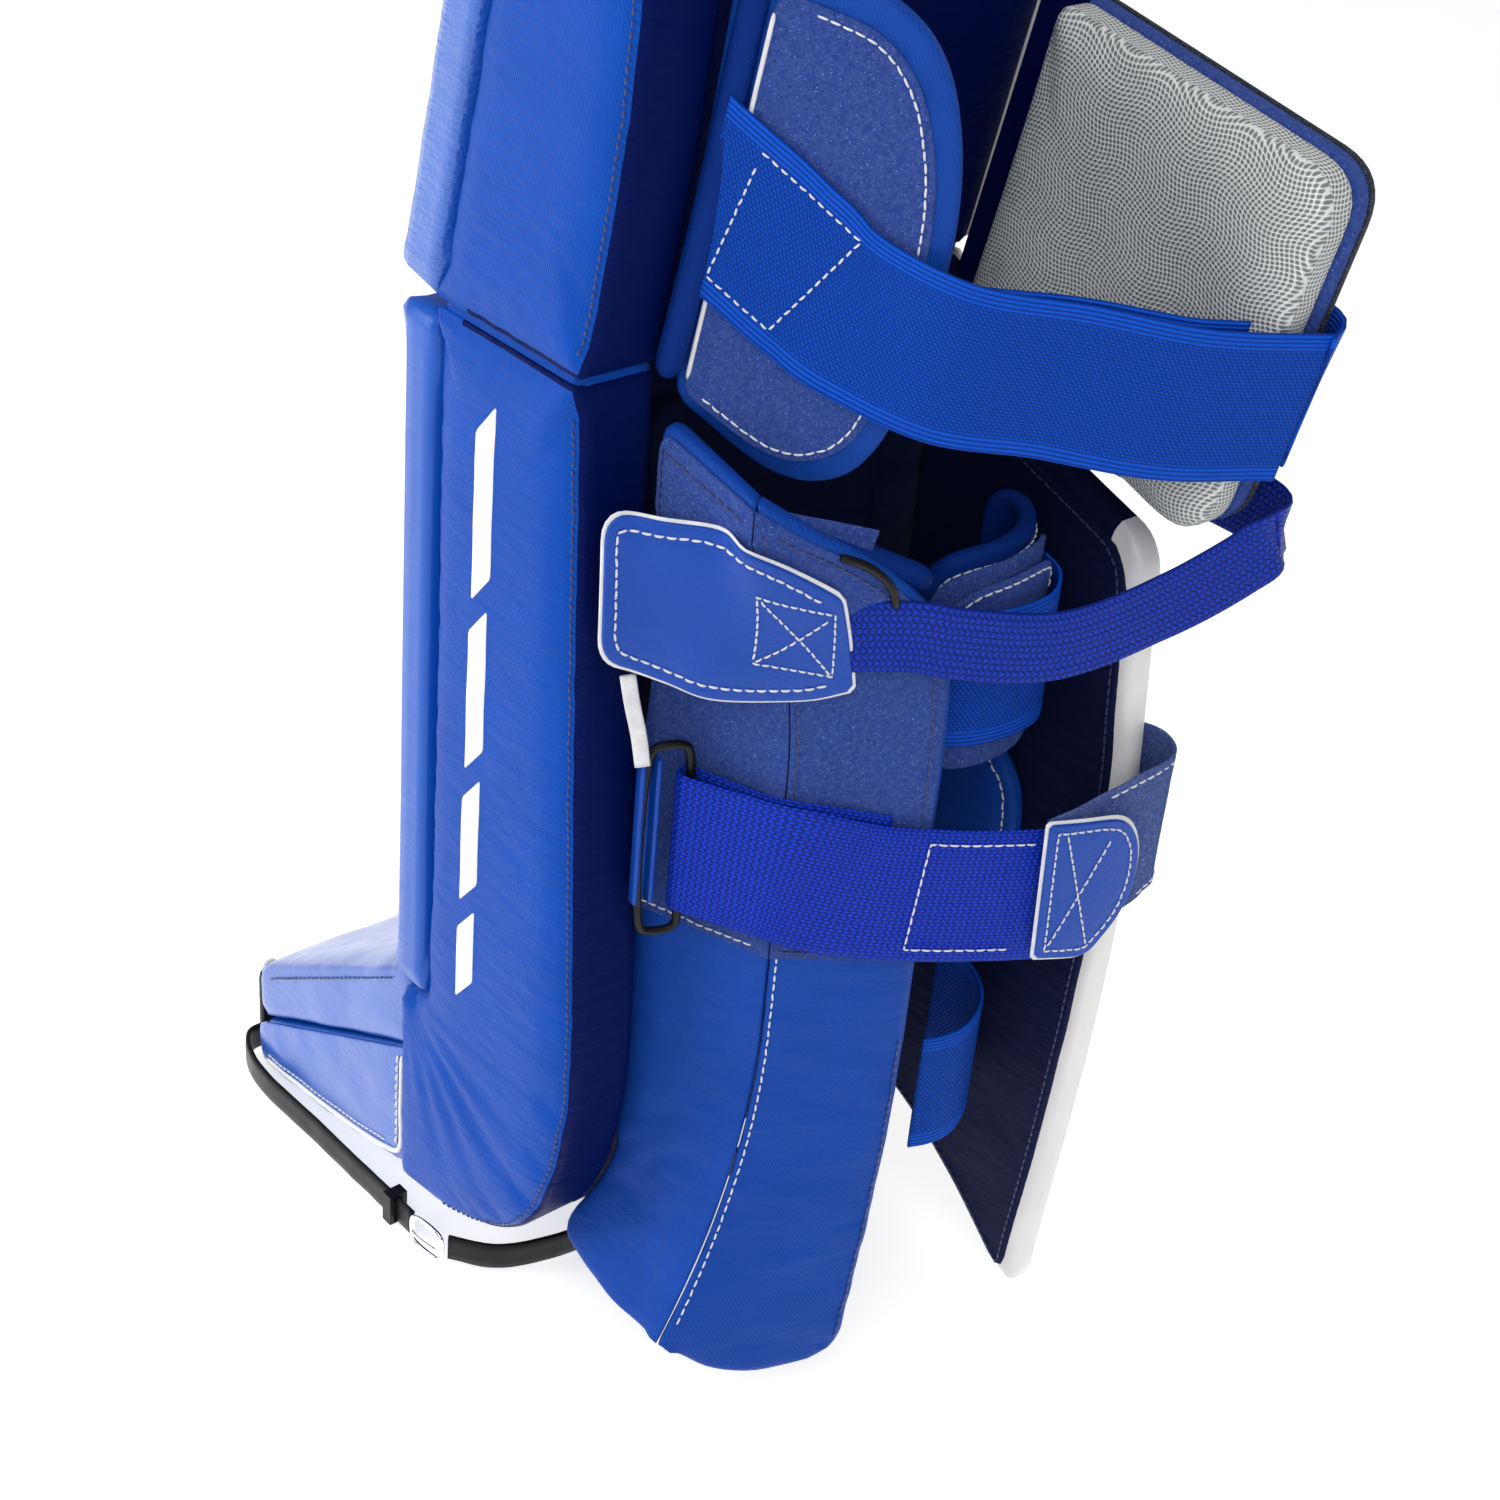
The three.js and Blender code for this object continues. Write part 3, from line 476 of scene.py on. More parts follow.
class Panel:
    """A padded panel: an outline in (s, t), filled from low to high along n, in millimetres."""

    def __init__(self, name, corners, place, low, high, material, top=4, bottom=None, cell=5.0,
                 crown=0.0, relief=None, smooth_top=None):
        self.place, self.low, self.high = place, low, high
        bottom = top if bottom is None else bottom
        ring = rounded(corners, cell)
        self.ring = ring
        flat = self.fill(ring, max(top, bottom), cell)
        given = [Vector(p) for p in flat]
        plan, _, triangles, source, _, _ = delaunay_2d_cdt(given, [], [list(range(len(ring)))], 1, 1e-4)
        plan = np.array([[p.x, p.y] for p in plan])
        self.plan = plan
        rim = [0] * len(ring)
        for index, origins in enumerate(source):
            for origin in origins:
                if origin < len(ring):
                    rim[origin] = index
        distance = edge_distance(plan, ring)
        self.distance = distance
        top_radius = np.full(len(plan), float(top))
        if smooth_top:
            top_radius = np.array([smooth_top(s, t) for s, t in plan])
        crowning = crown * (1 - np.exp(-distance / 22))
        height = high - edge_drop(distance, top_radius) + crowning
        if relief:
            height += np.array([relief(s, t, d) for (s, t), d in zip(plan, distance)])
        depth = low + edge_drop(distance, float(bottom)) - 0.5 * crowning
        self.build(name, plan, triangles, rim, height, depth, cell, material)

    @staticmethod
    def fill(ring, radius, cell):
        """The outline's points, rings along the rounded edge, and an even grid inside."""
        inward = inwards(ring)
        kept = [ring]
        for turn in EDGE_TURNS:
            inset = radius * (1 - math.cos(math.radians(turn)))
            if inset < 0.25:
                continue
            moved = ring + inward * inset
            good = is_inside(moved, ring) & (edge_distance(moved, ring) > inset - 0.3)
            kept.append(moved[good])
        low, high = ring.min(0), ring.max(0)
        rows = np.arange(low[1], high[1], cell * 0.87)
        grid = [(x + (cell / 2 if k % 2 else 0), y) for k, y in enumerate(rows)
                for x in np.arange(low[0], high[0], cell)]
        grid = np.array(grid)
        deep = edge_distance(grid, ring) > radius + cell * 0.45
        kept.append(grid[deep & is_inside(grid, ring)])
        return np.concatenate(kept)

    def build(self, name, plan, triangles, rim, height, depth, cell, material):
        """The top, the underside and the wall between them, in rows of about one cell."""
        count = len(plan)
        vertices = [self.place(s, t, n) for (s, t), n in zip(plan, height)]
        vertices += [self.place(s, t, n) for (s, t), n in zip(plan, depth)]
        faces = [list(f) for f in triangles]
        uvs = [[tuple(plan[i]) for i in f] for f in triangles]
        faces += [[i + count for i in reversed(f)] for f in triangles]
        uvs += [[(plan[i][0] + UNDERSIDE, plan[i][1]) for i in reversed(f)] for f in triangles]
        steps = np.linalg.norm(np.roll(self.ring, -1, 0) - self.ring, axis=1)
        around = np.concatenate([[0], np.cumsum(steps)])
        wall = max(height[i] - depth[i] for i in rim)
        rows = max(1, round(wall / cell))
        levels = [rim]
        self.home = [*plan, *plan]  # each vertex's place in the plan
        for k in range(1, rows):
            start = len(vertices)
            for i in rim:
                n = height[i] + (depth[i] - height[i]) * k / rows
                vertices.append(self.place(*plan[i], n))
                self.home.append(plan[i])
            levels.append(list(range(start, start + len(rim))))
        levels.append([i + count for i in rim])
        size = len(rim)
        for k, (upper, lower) in enumerate(zip(levels, levels[1:])):
            for i in range(size):
                j = (i + 1) % size
                faces.append([upper[i], lower[i], lower[j], upper[j]])
                high, low = wall * (1 - k / rows), wall * (1 - (k + 1) / rows)
                near, far = around[i], around[i + 1]
                uvs.append([(high, near), (low, near), (low, far), (high, far)])
        self.piece = add_mesh(name, vertices, faces, material, uvs)
        self.walls = sorted({i for level in levels for i in level})
        self.tree = None

    def edge_cloth(self, material, inset, wanted):
        """Covers the edge, up to inset mm onto the top, in another cloth where wanted(s, t) is true."""
        mesh = self.piece.data
        mesh.materials.append(material)
        count = len(self.plan)
        for polygon in mesh.polygons:
            tops = [i for i in polygon.vertices if i < count]
            if len(tops) == len(polygon.vertices) and max(self.distance[i] for i in tops) > inset:
                continue
            spots = [self.home[i] for i in polygon.vertices]
            if all(wanted(s, t) for s, t in spots):
                polygon.material_index = 1

    def tracer(self):
        """The finished surface, made ready for rays."""
        if self.tree is None:
            mesh = self.piece.data
            self.tree = BVHTree.FromPolygons([v.co.copy() for v in mesh.vertices],
                                             [list(p.vertices) for p in mesh.polygons])
        return self.tree

    def on_top(self, s, t, clear=0.0):
        """The finished surface above (s, t), and its outward normal."""
        return self.meet(s, t, self.high, self.low, clear)

    def under(self, s, t, clear=0.0):
        """The same on the other face."""
        return self.meet(s, t, self.low, self.high, clear)

    def meet(self, s, t, near, far, clear):
        """Where a ray from outside the near face, towards the far one, meets the panel."""
        start = self.place(s, t, near + math.copysign(RAY_START, near - far))
        toward = (self.place(s, t, far) - start).normalized()
        hit, normal, _, _ = self.tracer().ray_cast(start, toward)
        if hit is None:
            return self.place(s, t, near), -toward
        if normal.dot(toward) > 0:
            normal = -normal
        return hit + normal * clear * MM, normal


def swell(piece, pressure=4.0, cap=4.0, pinned=()):
    """Blows a closed piece up as cloth, holds its pinned vertices, and caps how far a point moves."""
    mesh = piece.data
    rest = np.array([v.co for v in mesh.vertices])
    modifier = piece.modifiers.new("cloth", "CLOTH")
    settings = modifier.settings
    settings.quality = 5
    settings.mass = 0.25
    settings.tension_stiffness = 12
    settings.compression_stiffness = 12
    settings.shear_stiffness = 6
    settings.bending_stiffness = 1.5
    settings.use_pressure = True
    settings.uniform_pressure_force = pressure
    settings.effector_weights.gravity = 0
    if len(pinned):
        group = piece.vertex_groups.new(name="seams")
        group.add([int(i) for i in pinned], 1.0, "ADD")
        settings.vertex_group_mass = "seams"
    modifier.point_cache.frame_start = 1
    modifier.point_cache.frame_end = CLOTH_FRAMES
    scene = bpy.context.scene
    for step in range(1, CLOTH_FRAMES + 1):
        scene.frame_set(step)
    graph = bpy.context.evaluated_depsgraph_get()
    blown = np.array([v.co for v in piece.evaluated_get(graph).data.vertices])
    piece.modifiers.remove(modifier)
    piece.vertex_groups.clear()
    scene.frame_set(1)
    moved = blown - rest
    length = np.linalg.norm(moved, axis=1)[:, None] + 1e-9
    limit = cap * MM
    mesh.vertices.foreach_set("co", (rest + moved / length * limit * np.tanh(length / limit)).ravel())
    mesh.update()


def strap(name, path, width, thick, material, at=pt, up=UP, step=3.0, lift=None, ends=(0, 0)):
    """A flat band through layout points. lift(u, v) raises its surface; ends slant its two ends."""
    middle = smooth_path([at(*p) / MM for p in path], step)
    lengths = [0.0]
    for a, b in zip(middle, middle[1:]):
        lengths.append(lengths[-1] + (b - a).length)
    total = lengths[-1]
    columns = max(4, round(width / 5))
    flat = width / 2 - 0.9  # outside this the band thins out towards its selvedge
    section = [(-width / 2 + 0.1, 0.3)] + [(v, 1.0) for v in np.linspace(-flat, flat, columns + 1)]
    section += [(width / 2 - 0.1, 0.3)]
    ring = section + [(v, -n) for v, n in reversed(section)]
    vertices, faces, uvs = [], [], []
    for i, centre in enumerate(middle):
        tangent = (middle[min(i + 1, len(middle) - 1)] - middle[max(i - 1, 0)]).normalized()
        side = (up - tangent * up.dot(tangent)).normalized()
        normal = tangent.cross(side)
        for v, n in ring:
            slant = ends[0] * (1 - lengths[i] / total) + ends[1] * lengths[i] / total
            raised = n * thick / 2 + (lift(lengths[i], v) if lift else 0)
            vertices.append((centre + side * v + normal * raised + tangent * slant * v / width) * MM)
    size = len(ring)
    for i in range(len(middle) - 1):
        for j in range(size):
            k = (j + 1) % size
            faces.append([i * size + j, i * size + k, (i + 1) * size + k, (i + 1) * size + j])
            shift = 0 if j < size / 2 else 300
            corners = ((lengths[i], ring[j][0]), (lengths[i], ring[k][0]),
                       (lengths[i + 1], ring[k][0]), (lengths[i + 1], ring[j][0]))
            uvs.append([(u + shift, v) for u, v in corners])
    for base in (0, (len(middle) - 1) * size):
        for j in range(size // 2 - 1):
            faces.append([base + j, base + j + 1, base + size - 2 - j, base + size - 1 - j])
            uvs.append([(lengths[0], ring[j][0])] * 4)
    return add_mesh(name, vertices, faces, material, uvs)


def tube(name, path, radius, material, closed=False, sides=10, at=None, step=2.0):
    """A round cord. Its path is in layout points when at is given, else in millimetres of the frame."""
    given = [at(*p) / MM if at else Vector(p) for p in path]
    middle = smooth_path(given + given[:1] if closed else given, step)
    if closed:
        middle.pop()
    count = len(middle)
    vertices, faces, uvs = [], [], []
    side = None
    for i, centre in enumerate(middle):
        ahead = middle[(i + 1) % count] if closed or i + 1 < count else centre
        behind = middle[i - 1] if closed or i else centre
        tangent = (ahead - behind).normalized()
        if side is None:
            side = tangent.orthogonal()
        side = (side - tangent * side.dot(tangent)).normalized()
        other = tangent.cross(side)
        end = 0 if closed else min(i, count - 1 - i)  # an open cord has rounded ends
        shrink = 1.0 if closed or end > 1 else (0.55 if end == 0 else 0.9)
        for k in range(sides):
            turn = 2 * math.pi * k / sides
            spoke = side * math.cos(turn) + other * math.sin(turn)
            vertices.append((centre + spoke * radius * shrink) * MM)
    last = count if closed else count - 1
    for i in range(last):
        j = (i + 1) % count
        for k in range(sides):
            m = (k + 1) % sides
            faces.append([i * sides + k, i * sides + m, j * sides + m, j * sides + k])
            corners = ((i, k), (i, k + 1), (i + 1, k + 1), (i + 1, k))
            uvs.append([(a * step, b * 2 * math.pi * radius / sides) for a, b in corners])
    if not closed:
        for base in (0, (count - 1) * sides):
            faces.append([base + k for k in range(sides)])
            uvs.append([(0, 0)] * sides)
    return add_mesh(name, vertices, faces, material, uvs)


def stitches(name, line, material, length=4.6, gap=0.9, radius=0.55, seed=1):
    """Sewn stitches along a line of (point, normal) pairs in frame metres, each a short thread."""
    draw = random.Random(seed)
    points = [p / MM for p, _ in line]
    normals = [n for _, n in line]
    marks = np.concatenate([[0], np.cumsum([(b - a).length for a, b in zip(points, points[1:])])])

    def where(s):
        i = min(int(np.searchsorted(marks, s, side="right")) - 1, len(points) - 2)
        share = (s - marks[i]) / max(marks[i + 1] - marks[i], 1e-9)
        return points[i].lerp(points[i + 1], share), normals[i].lerp(normals[i + 1], share).normalized()

    # At shares of each stitch: how thick its thread is and how high it lies, in radii.
    profile = ((0.0, 0.35, -0.3), (0.12, 0.85, 0.05), (0.35, 1.0, 0.4), (0.65, 1.0, 0.4),
               (0.88, 0.85, 0.05), (1.0, 0.35, -0.3))
    sides = 6
    vertices, faces = [], []
    start = 0.0
    while start + length < marks[-1]:
        lean = draw.uniform(-0.22, 0.22)
        base = len(vertices)
        for share, size, lift in profile:
            centre, normal = where(start + share * length)
            ahead, _ = where(min(start + share * length + 0.5, marks[-1]))
            behind, _ = where(max(start + share * length - 0.5, 0))
            tangent = (ahead - behind).normalized()
            across = tangent.cross(normal).normalized()
            out = across.cross(tangent).normalized()
            spot = centre + out * (radius * 0.35 + lift * radius) + across * lean * (share - 0.5) * 2
            for k in range(sides):
                turn = 2 * math.pi * k / sides
                spoke = across * math.cos(turn) + out * math.sin(turn)
                vertices.append((spot + spoke * radius * size) * MM)
        for ring in range(len(profile) - 1):
            for k in range(sides):
                j = (k + 1) % sides
                a = base + ring * sides
                faces.append([a + k, a + j, a + sides + j, a + sides + k])
        faces.append([base + k for k in range(sides)])
        faces.append([base + (len(profile) - 1) * sides + k for k in range(sides)])
        start += length + gap + draw.uniform(-0.15, 0.15)
    return add_mesh(name, vertices, faces, material)


def traced(panel, path, clear=0.1, step=2.0, face="top"):
    """A path of (s, t) points laid on a panel's finished surface."""
    cast = panel.on_top if face == "top" else panel.under
    return [cast(p[0], p[1], clear) for p in smooth_path([(s, t) for s, t in path], step)]


def straight(points, per_edge=24):
    """Straight runs between points, as closely spaced (s, t) pairs."""
    line = []
    for a, b in zip(points, points[1:]):
        line += [(a[0] + (b[0] - a[0]) * k / per_edge, a[1] + (b[1] - a[1]) * k / per_edge)
                 for k in range(per_edge)]
    return line + [tuple(points[-1][:2])]


def laid(panel, points, clear=0.1, face="top"):
    """Straight runs laid on a panel, without smoothing their corners."""
    cast = panel.on_top if face == "top" else panel.under
    return [cast(s, t, clear) for s, t in straight(points)]


def inset_run(ring, inset, keep=lambda s, t: True):
    """The part of an outline that keep accepts, moved inwards."""
    moved = ring + inwards(ring) * inset
    wanted = [bool(keep(*p)) for p in moved]
    if all(wanted):
        return [tuple(p) for p in moved] + [tuple(moved[0])]
    first = next(i for i in range(len(moved)) if wanted[i] and not wanted[i - 1])
    run = []
    for k in range(len(moved)):
        i = (first + k) % len(moved)
        if not wanted[i]:
            break
        run.append(tuple(moved[i]))
    return run


def sew(name, line, body, material=WHITE_THREAD, **options):
    """Stitches along a line, which move with a body."""
    made = stitches(name, line, material, **options)
    finish_piece(made, body)
    return made


def ripple(x, y, z=0.0):
    """Smooth noise from -1 to 1."""
    return noise.noise(Vector((x, y, z)))


# ---------------------------------------------------------------- places
def side_place(at):
    """Panels seen from the side: s is y, t is z and n is x."""
    return lambda s, t, n: at(n, s, t)


def front_place(at):
    """Panels seen from the front: s is x, t is z and n points forwards."""
    return lambda s, t, n: at(s, -n, t)


def back_place(at):
    """Panels seen from the back: s is x, t is z and n points backwards."""
    return lambda s, t, n: at(s, n, t)


def level_cut(y, clear):
    """Height in the thigh's own layout of a level plane that is clear above the knee break."""
    return KNEE.z + (clear + (y - KNEE.y) * math.sin(THIGH_TILT)) / math.cos(THIGH_TILT)


# ---------------------------------------------------------------- padded front layers and core
def build_faces():
    """The padded leather faces of the shin and the thigh rise."""
    low, high = 191, 592
    seams = (-96, 96)

    def shin_relief(s, t, d):
        grooves = sum(-1.6 * math.exp(-((s - seam) / 2.2) ** 2) for seam in seams)
        return grooves + 0.5 * ripple(s / 60, t / 90, 3)

    face = Panel("shin_face", [(-HALF_WIDTH, low, 5), (HALF_WIDTH, low, 5), (HALF_WIDTH, high, 5),
                               (-HALF_WIDTH, high, 5)], front_place(pt), FACE_BACK, FRONT, SHIN_LEATHER,
                 top=14, bottom=3, cell=7, relief=shin_relief, crown=1.5)
    swell(face.piece, cap=2.5, pinned=face.walls)
    for number, seam in enumerate(seams):
        for letter, offset in (("a", -4), ("b", 4)):
            line = laid(face, [(seam + offset, low + 8), (seam + offset, high - 8)])
            sew(f"shin_face_stitch_{number}{letter}", line, "shin", DARK_THREAD, seed=number)
    finish_piece(face.piece, "shin", "shin_face_cover", "shin_face_foam", "shin_stiffener_board")

    def thigh_relief(s, t, d):
        return 0.9 * ripple(s / 70, t / 12, 5) + 0.5 * ripple(s / 24, t / 30, 9)

    thigh_face = Panel("thigh_face", [(-HALF_WIDTH, 585, 5), (HALF_WIDTH, 585, 5), (HALF_WIDTH, 862, 46),
                                      (-HALF_WIDTH, 862, 70)], front_place(thigh_pt), FACE_BACK, FRONT,
                       GRAINED_LEATHER, top=14, bottom=3, cell=7, relief=thigh_relief, crown=1.5)
    swell(thigh_face.piece, cap=2.5, pinned=thigh_face.walls)
    finish_piece(thigh_face.piece, "thigh_rise", "thigh_face_cover", "thigh_face_foam",
                 "thigh_stiffener_board")


CORE_LEFT, CORE_RIGHT = -137, 90.6  # the channel's floor, between the medial gusset and the roll


def build_core():
    """The shin's core, the lined leg channel, the padded cradle on its floor, and the medial gusset."""
    left, right = CORE_LEFT, CORE_RIGHT
    core = Panel("shin_core", [(left, 60, 10), (right, 60, 10), (right, 596, 4), (left, 596, 4)],
                 back_place(pt), -40, 25.6, NAVY_AND_SHADE_NYLON, top=2, bottom=2, cell=14)
    finish_piece(core.piece, "shin", "shin_core_foam")

    def quilting(s, t, d):
        return -1.2 * math.exp(-(((t - 80) % 62 - 31) / 3.5) ** 2)

    lining = Panel("channel_lining", [(left, 62, 10), (right, 62, 10), (right, 595, 4), (left, 595, 4)],
                   back_place(pt), 25.8, 29.6, LINING, top=1.2, bottom=0.5, cell=7, relief=quilting)
    finish_piece(lining.piece, "shin", "leg_channel_lining")
    gusset = Panel("shin_gusset", [(-40, 60, 8), (29.5, 60, 8), (29.5, 596, 4), (-40, 596, 4)],
                   side_place(pt), -140, -137.4, WHITE_LEATHER, top=1.0, cell=8)
    finish_piece(gusset.piece, "shin", "shin_medial_gusset")

    def ridged(s, t, d):
        x = min(max(s, -76), 66)
        ridge = 7 * max(0.0, (abs(x + 5) - 45) / 26) ** 1.2
        channel = -2.2 * math.exp(-(((t - 210) % 58 - 29) / 4) ** 2)
        return ridge + channel

    cradle = Panel("shin_cradle", [(-84, 210, 18), (74, 210, 18), (74, 560, 18), (-84, 560, 18)],
                   back_place(pt), 30.4, 36, LINING, top=4, bottom=0.8, cell=6, relief=ridged)
    swell(cradle.piece, cap=1.5, pinned=cradle.walls)
    finish_piece(cradle.piece, "shin", "shin_cradle_pad")


def build_thigh_core():
    """The thigh rise's core, its back cover and its medial gusset."""
    left, right = CORE_LEFT, CORE_RIGHT
    thigh = [(left, 590, 4), (right, 590, 4), (right, 860, 46), (left, 860, 70)]
    thigh_core = Panel("thigh_core", thigh, back_place(thigh_pt), -40, 25.6, NAVY_AND_SHADE_NYLON, top=2, cell=14)
    finish_piece(thigh_core.piece, "thigh_rise", "thigh_core_foam")
    thigh_back = Panel("thigh_back", [(left, 602, 4), (right, 602, 4), (right, 859, 46), (left, 859, 70)],
                       back_place(thigh_pt), 25.8, 29.8, NAVY_AND_SHADE_NYLON, top=1.5, cell=7,
                       relief=lambda s, t, d: 0.8 * ripple(s / 30, t / 60, 2))
    finish_piece(thigh_back.piece, "thigh_rise", "thigh_back_cover")
    thigh_gusset = Panel("thigh_gusset", [(-40, 588, 4), (29.8, 602, 4), (29.8, 800, 40), (-40, 800, 10)],
                         side_place(thigh_pt), -140, -137.4, WHITE_LEATHER, top=1.0, cell=8)
    finish_piece(thigh_gusset.piece, "thigh_rise", "thigh_medial_gusset")


# ---------------------------------------------------------------- outer roll
ROLL_INNER, ROLL_OUTER = 91, 139
ROLL_ROUND = 8
CUT_ROUND = 1.5  # the smaller rounding where the two rolls meet at the knee break
BREAK_Y, BREAK_Z = -58, 184  # the boot break, where folds start
# Each crease's direction in degrees, its depth and its reach in mm.
CREASES = ((-12, 2.0, 80), (-30, 2.9, 115), (-47, 2.3, 100), (-64, 2.0, 90), (-82, 1.5, 70))


def fold_rays(s, t):
    """Creases that fan out of the boot break across the roll's side."""
    total = 0.0
    for degrees, depth, reach in CREASES:
        turn = math.radians(degrees)
        along = (s - BREAK_Y) * math.cos(turn) + (t - BREAK_Z) * math.sin(turn)
        if along < 2:
            continue
        away = -(s - BREAK_Y) * math.sin(turn) + (t - BREAK_Z) * math.cos(turn)
        width = 3.0 + along * 0.045
        fade = math.exp(-(along / reach) ** 2)
        total -= depth * math.exp(-(away / width) ** 2) * fade * min(1, along / 8)
        total += depth * 0.5 * math.exp(-((away - 2.2 * width) / width) ** 2) * fade
    return total


def roll_relief(top_t, bottom_t):
    """A sewn groove along the edge, wrinkles, gathered ends, and the boot break's creases."""
    seam = ROLL_ROUND * (1 - math.cos(math.radians(EDGE_TURNS[1])))

    def relief(s, t, d):
        groove = -1.9 * math.exp(-((d - seam) / 0.9) ** 2)
        wrinkles = 0.55 * ripple(s / 55, t / 10, 1) * math.exp(-d / 30) + 0.35 * ripple(s / 90, t / 26, 4)
        near_end = math.exp(-(t - bottom_t) / 14) + math.exp(-(top_t - t) / 12)
        return groove + wrinkles + 0.7 * ripple(s / 9, t / 60, 8) * near_end + fold_rays(s, t)
    return relief


def emblem_bar(panel, name, low, high, body, at_y):
    """A plain slanted bar of appliqued white film on the roll's side."""
    slant = 9
    half = 7.5
    corners = [(at_y - half, low - slant), (at_y + half, low + slant),
               (at_y + half, high + slant), (at_y - half, high - slant)]
    ring = rounded([(s, t, 1.5) for s, t in corners], 3.0)
    shape = Panel.fill(ring, 0.6, 3.0)
    plan, _, triangles, _, _, _ = delaunay_2d_cdt([Vector(p) for p in shape], [],
                                                  [list(range(len(ring)))], 1, 1e-4)
    distance = edge_distance(np.array([[p.x, p.y] for p in plan]), ring)
    upper = [panel.on_top(p.x, p.y, 0.25 + min(0.5, d * 0.6))[0] for p, d in zip(plan, distance)]
    lower = [panel.on_top(p.x, p.y, -0.4)[0] for p in plan]
    count = len(plan)
    rim = [int(np.argmin([(p.x - r[0]) ** 2 + (p.y - r[1]) ** 2 for p in plan])) for r in ring]
    faces = [list(f) for f in triangles] + [[i + count for i in reversed(f)] for f in triangles]
    faces += [[a, a + count, b + count, b] for a, b in zip(rim, rim[1:] + rim[:1])]
    finish_piece(add_mesh(name, upper + lower, faces, WHITE_LEATHER), body)


def build_roll(name, outline, at, body, from_cut, top_t, bottom_t, sewn):
    """One length of the roll. from_cut(s, t) is the distance from the end at the knee break."""
    def rounding(s, t):
        return CUT_ROUND + (ROLL_ROUND - CUT_ROUND) * min(1, max(0, from_cut(s, t) / 16))

    roll = Panel(name, outline, side_place(at), ROLL_INNER, ROLL_OUTER, BLUE_NYLON, top=ROLL_ROUND, cell=4.5,
                 crown=2.0, relief=roll_relief(top_t, bottom_t), smooth_top=rounding)
    swell(roll.piece, cap=3.0, pinned=roll.walls)
    run = inset_run(roll.ring, 4.5, lambda s, t: sewn(t) and s > -20)
    sew(name + "_stitch", traced(roll, run[::3]), body, DARK_THREAD, length=3.4, gap=1.4, radius=0.55)
    # Painted shade: every edge of the roll but its front, with a 2.4 mm rim onto its side, goes in the dark
    # navy nylon, partly a darker cloth and partly painted shade.
    roll.edge_cloth(NAVY_AND_SHADE_NYLON, 2.4, lambda s, t: s > -20)
    finish_piece(roll.piece, body, name + "_cover", name + "_foam")
    return roll


def build_rolls():
    """The outer roll, in one length on each side of the knee break, with its emblem."""
    top = 597.6
    outline = [(-40, top, 2), (-40, 189, 6), (-66, 183, 6), (-64, 46, 10), (0, 54, 40), (62, 90, 60),
               (92, 190, 60), (78, 400, 60), (68, top, 2)]
    lower = build_roll("outer_roll_lower", outline, pt, "shin", lambda s, t: top - t, top, 46,
                       lambda t: t < 588)
    for number, (high, low) in enumerate(((560, 470), (452, 372), (354, 290), (272, 226))):
        emblem_bar(lower, f"roll_bar_{number + 1}", low, high, "shin", 8 - number * 1.5)

    outline = [(-40, level_cut(-40, 2), 2), (69, level_cut(69, 2), 2), (66, 742, 60), (44, 854, 40),
               (-40, 842, 6)]
    build_roll("outer_roll_upper", outline, thigh_pt, "thigh_rise", lambda s, t: t - level_cut(s, 2), 854,
               600, lambda t: t > 618)
    build_knee_sleeve()


def build_knee_sleeve():
    """A short nylon sleeve inside the gap between the two rolls."""
    ring = rounded([(-39, 92.5, 6), (67.5, 92.5, 6), (67.5, 138.2, 6), (-39, 138.2, 6)], 4)
    levels = ((588, 1.2), (594, 0.6), (597, 0.9), (600, 2.6), (603, 0.9), (606, 0.6), (612, 1.2))
    heights = [z for z, _ in levels]
    vertices, faces, uvs = [], [], []
    size = len(ring)
    for z, inset in levels:
        vertices += [pt(x, y, z) for y, x in ring + inwards(ring) * inset]
    for k in range(len(heights) - 1):
        for i in range(size):
            j = (i + 1) % size
            faces.append([k * size + i, k * size + j, (k + 1) * size + j, (k + 1) * size + i])
            uvs.append([(4 * a, heights[b]) for a, b in ((i, k), (i + 1, k), (i + 1, k + 1), (i, k + 1))])
    for base in (0, (len(heights) - 1) * size):
        faces.append([base + i for i in range(size)])
        uvs.append([(0, 0)] * size)
    sleeve = add_mesh("knee_break_sleeve", vertices, faces, BLUE_NYLON, uvs)
    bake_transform(sleeve)


# ---------------------------------------------------------------- knee wing, block and strap
def upright(foot, heading, at):
    """Panels that stand on a foot point and run along a heading; n points away from the leg."""
    turn = math.radians(heading)
    ahead = Vector((math.cos(turn), math.sin(turn)))
    out = Vector((math.sin(turn), -math.cos(turn)))

    def place(s, t, n):
        spot = Vector(foot) + ahead * s + out * n
        return at(spot.x, spot.y, t)
    return place


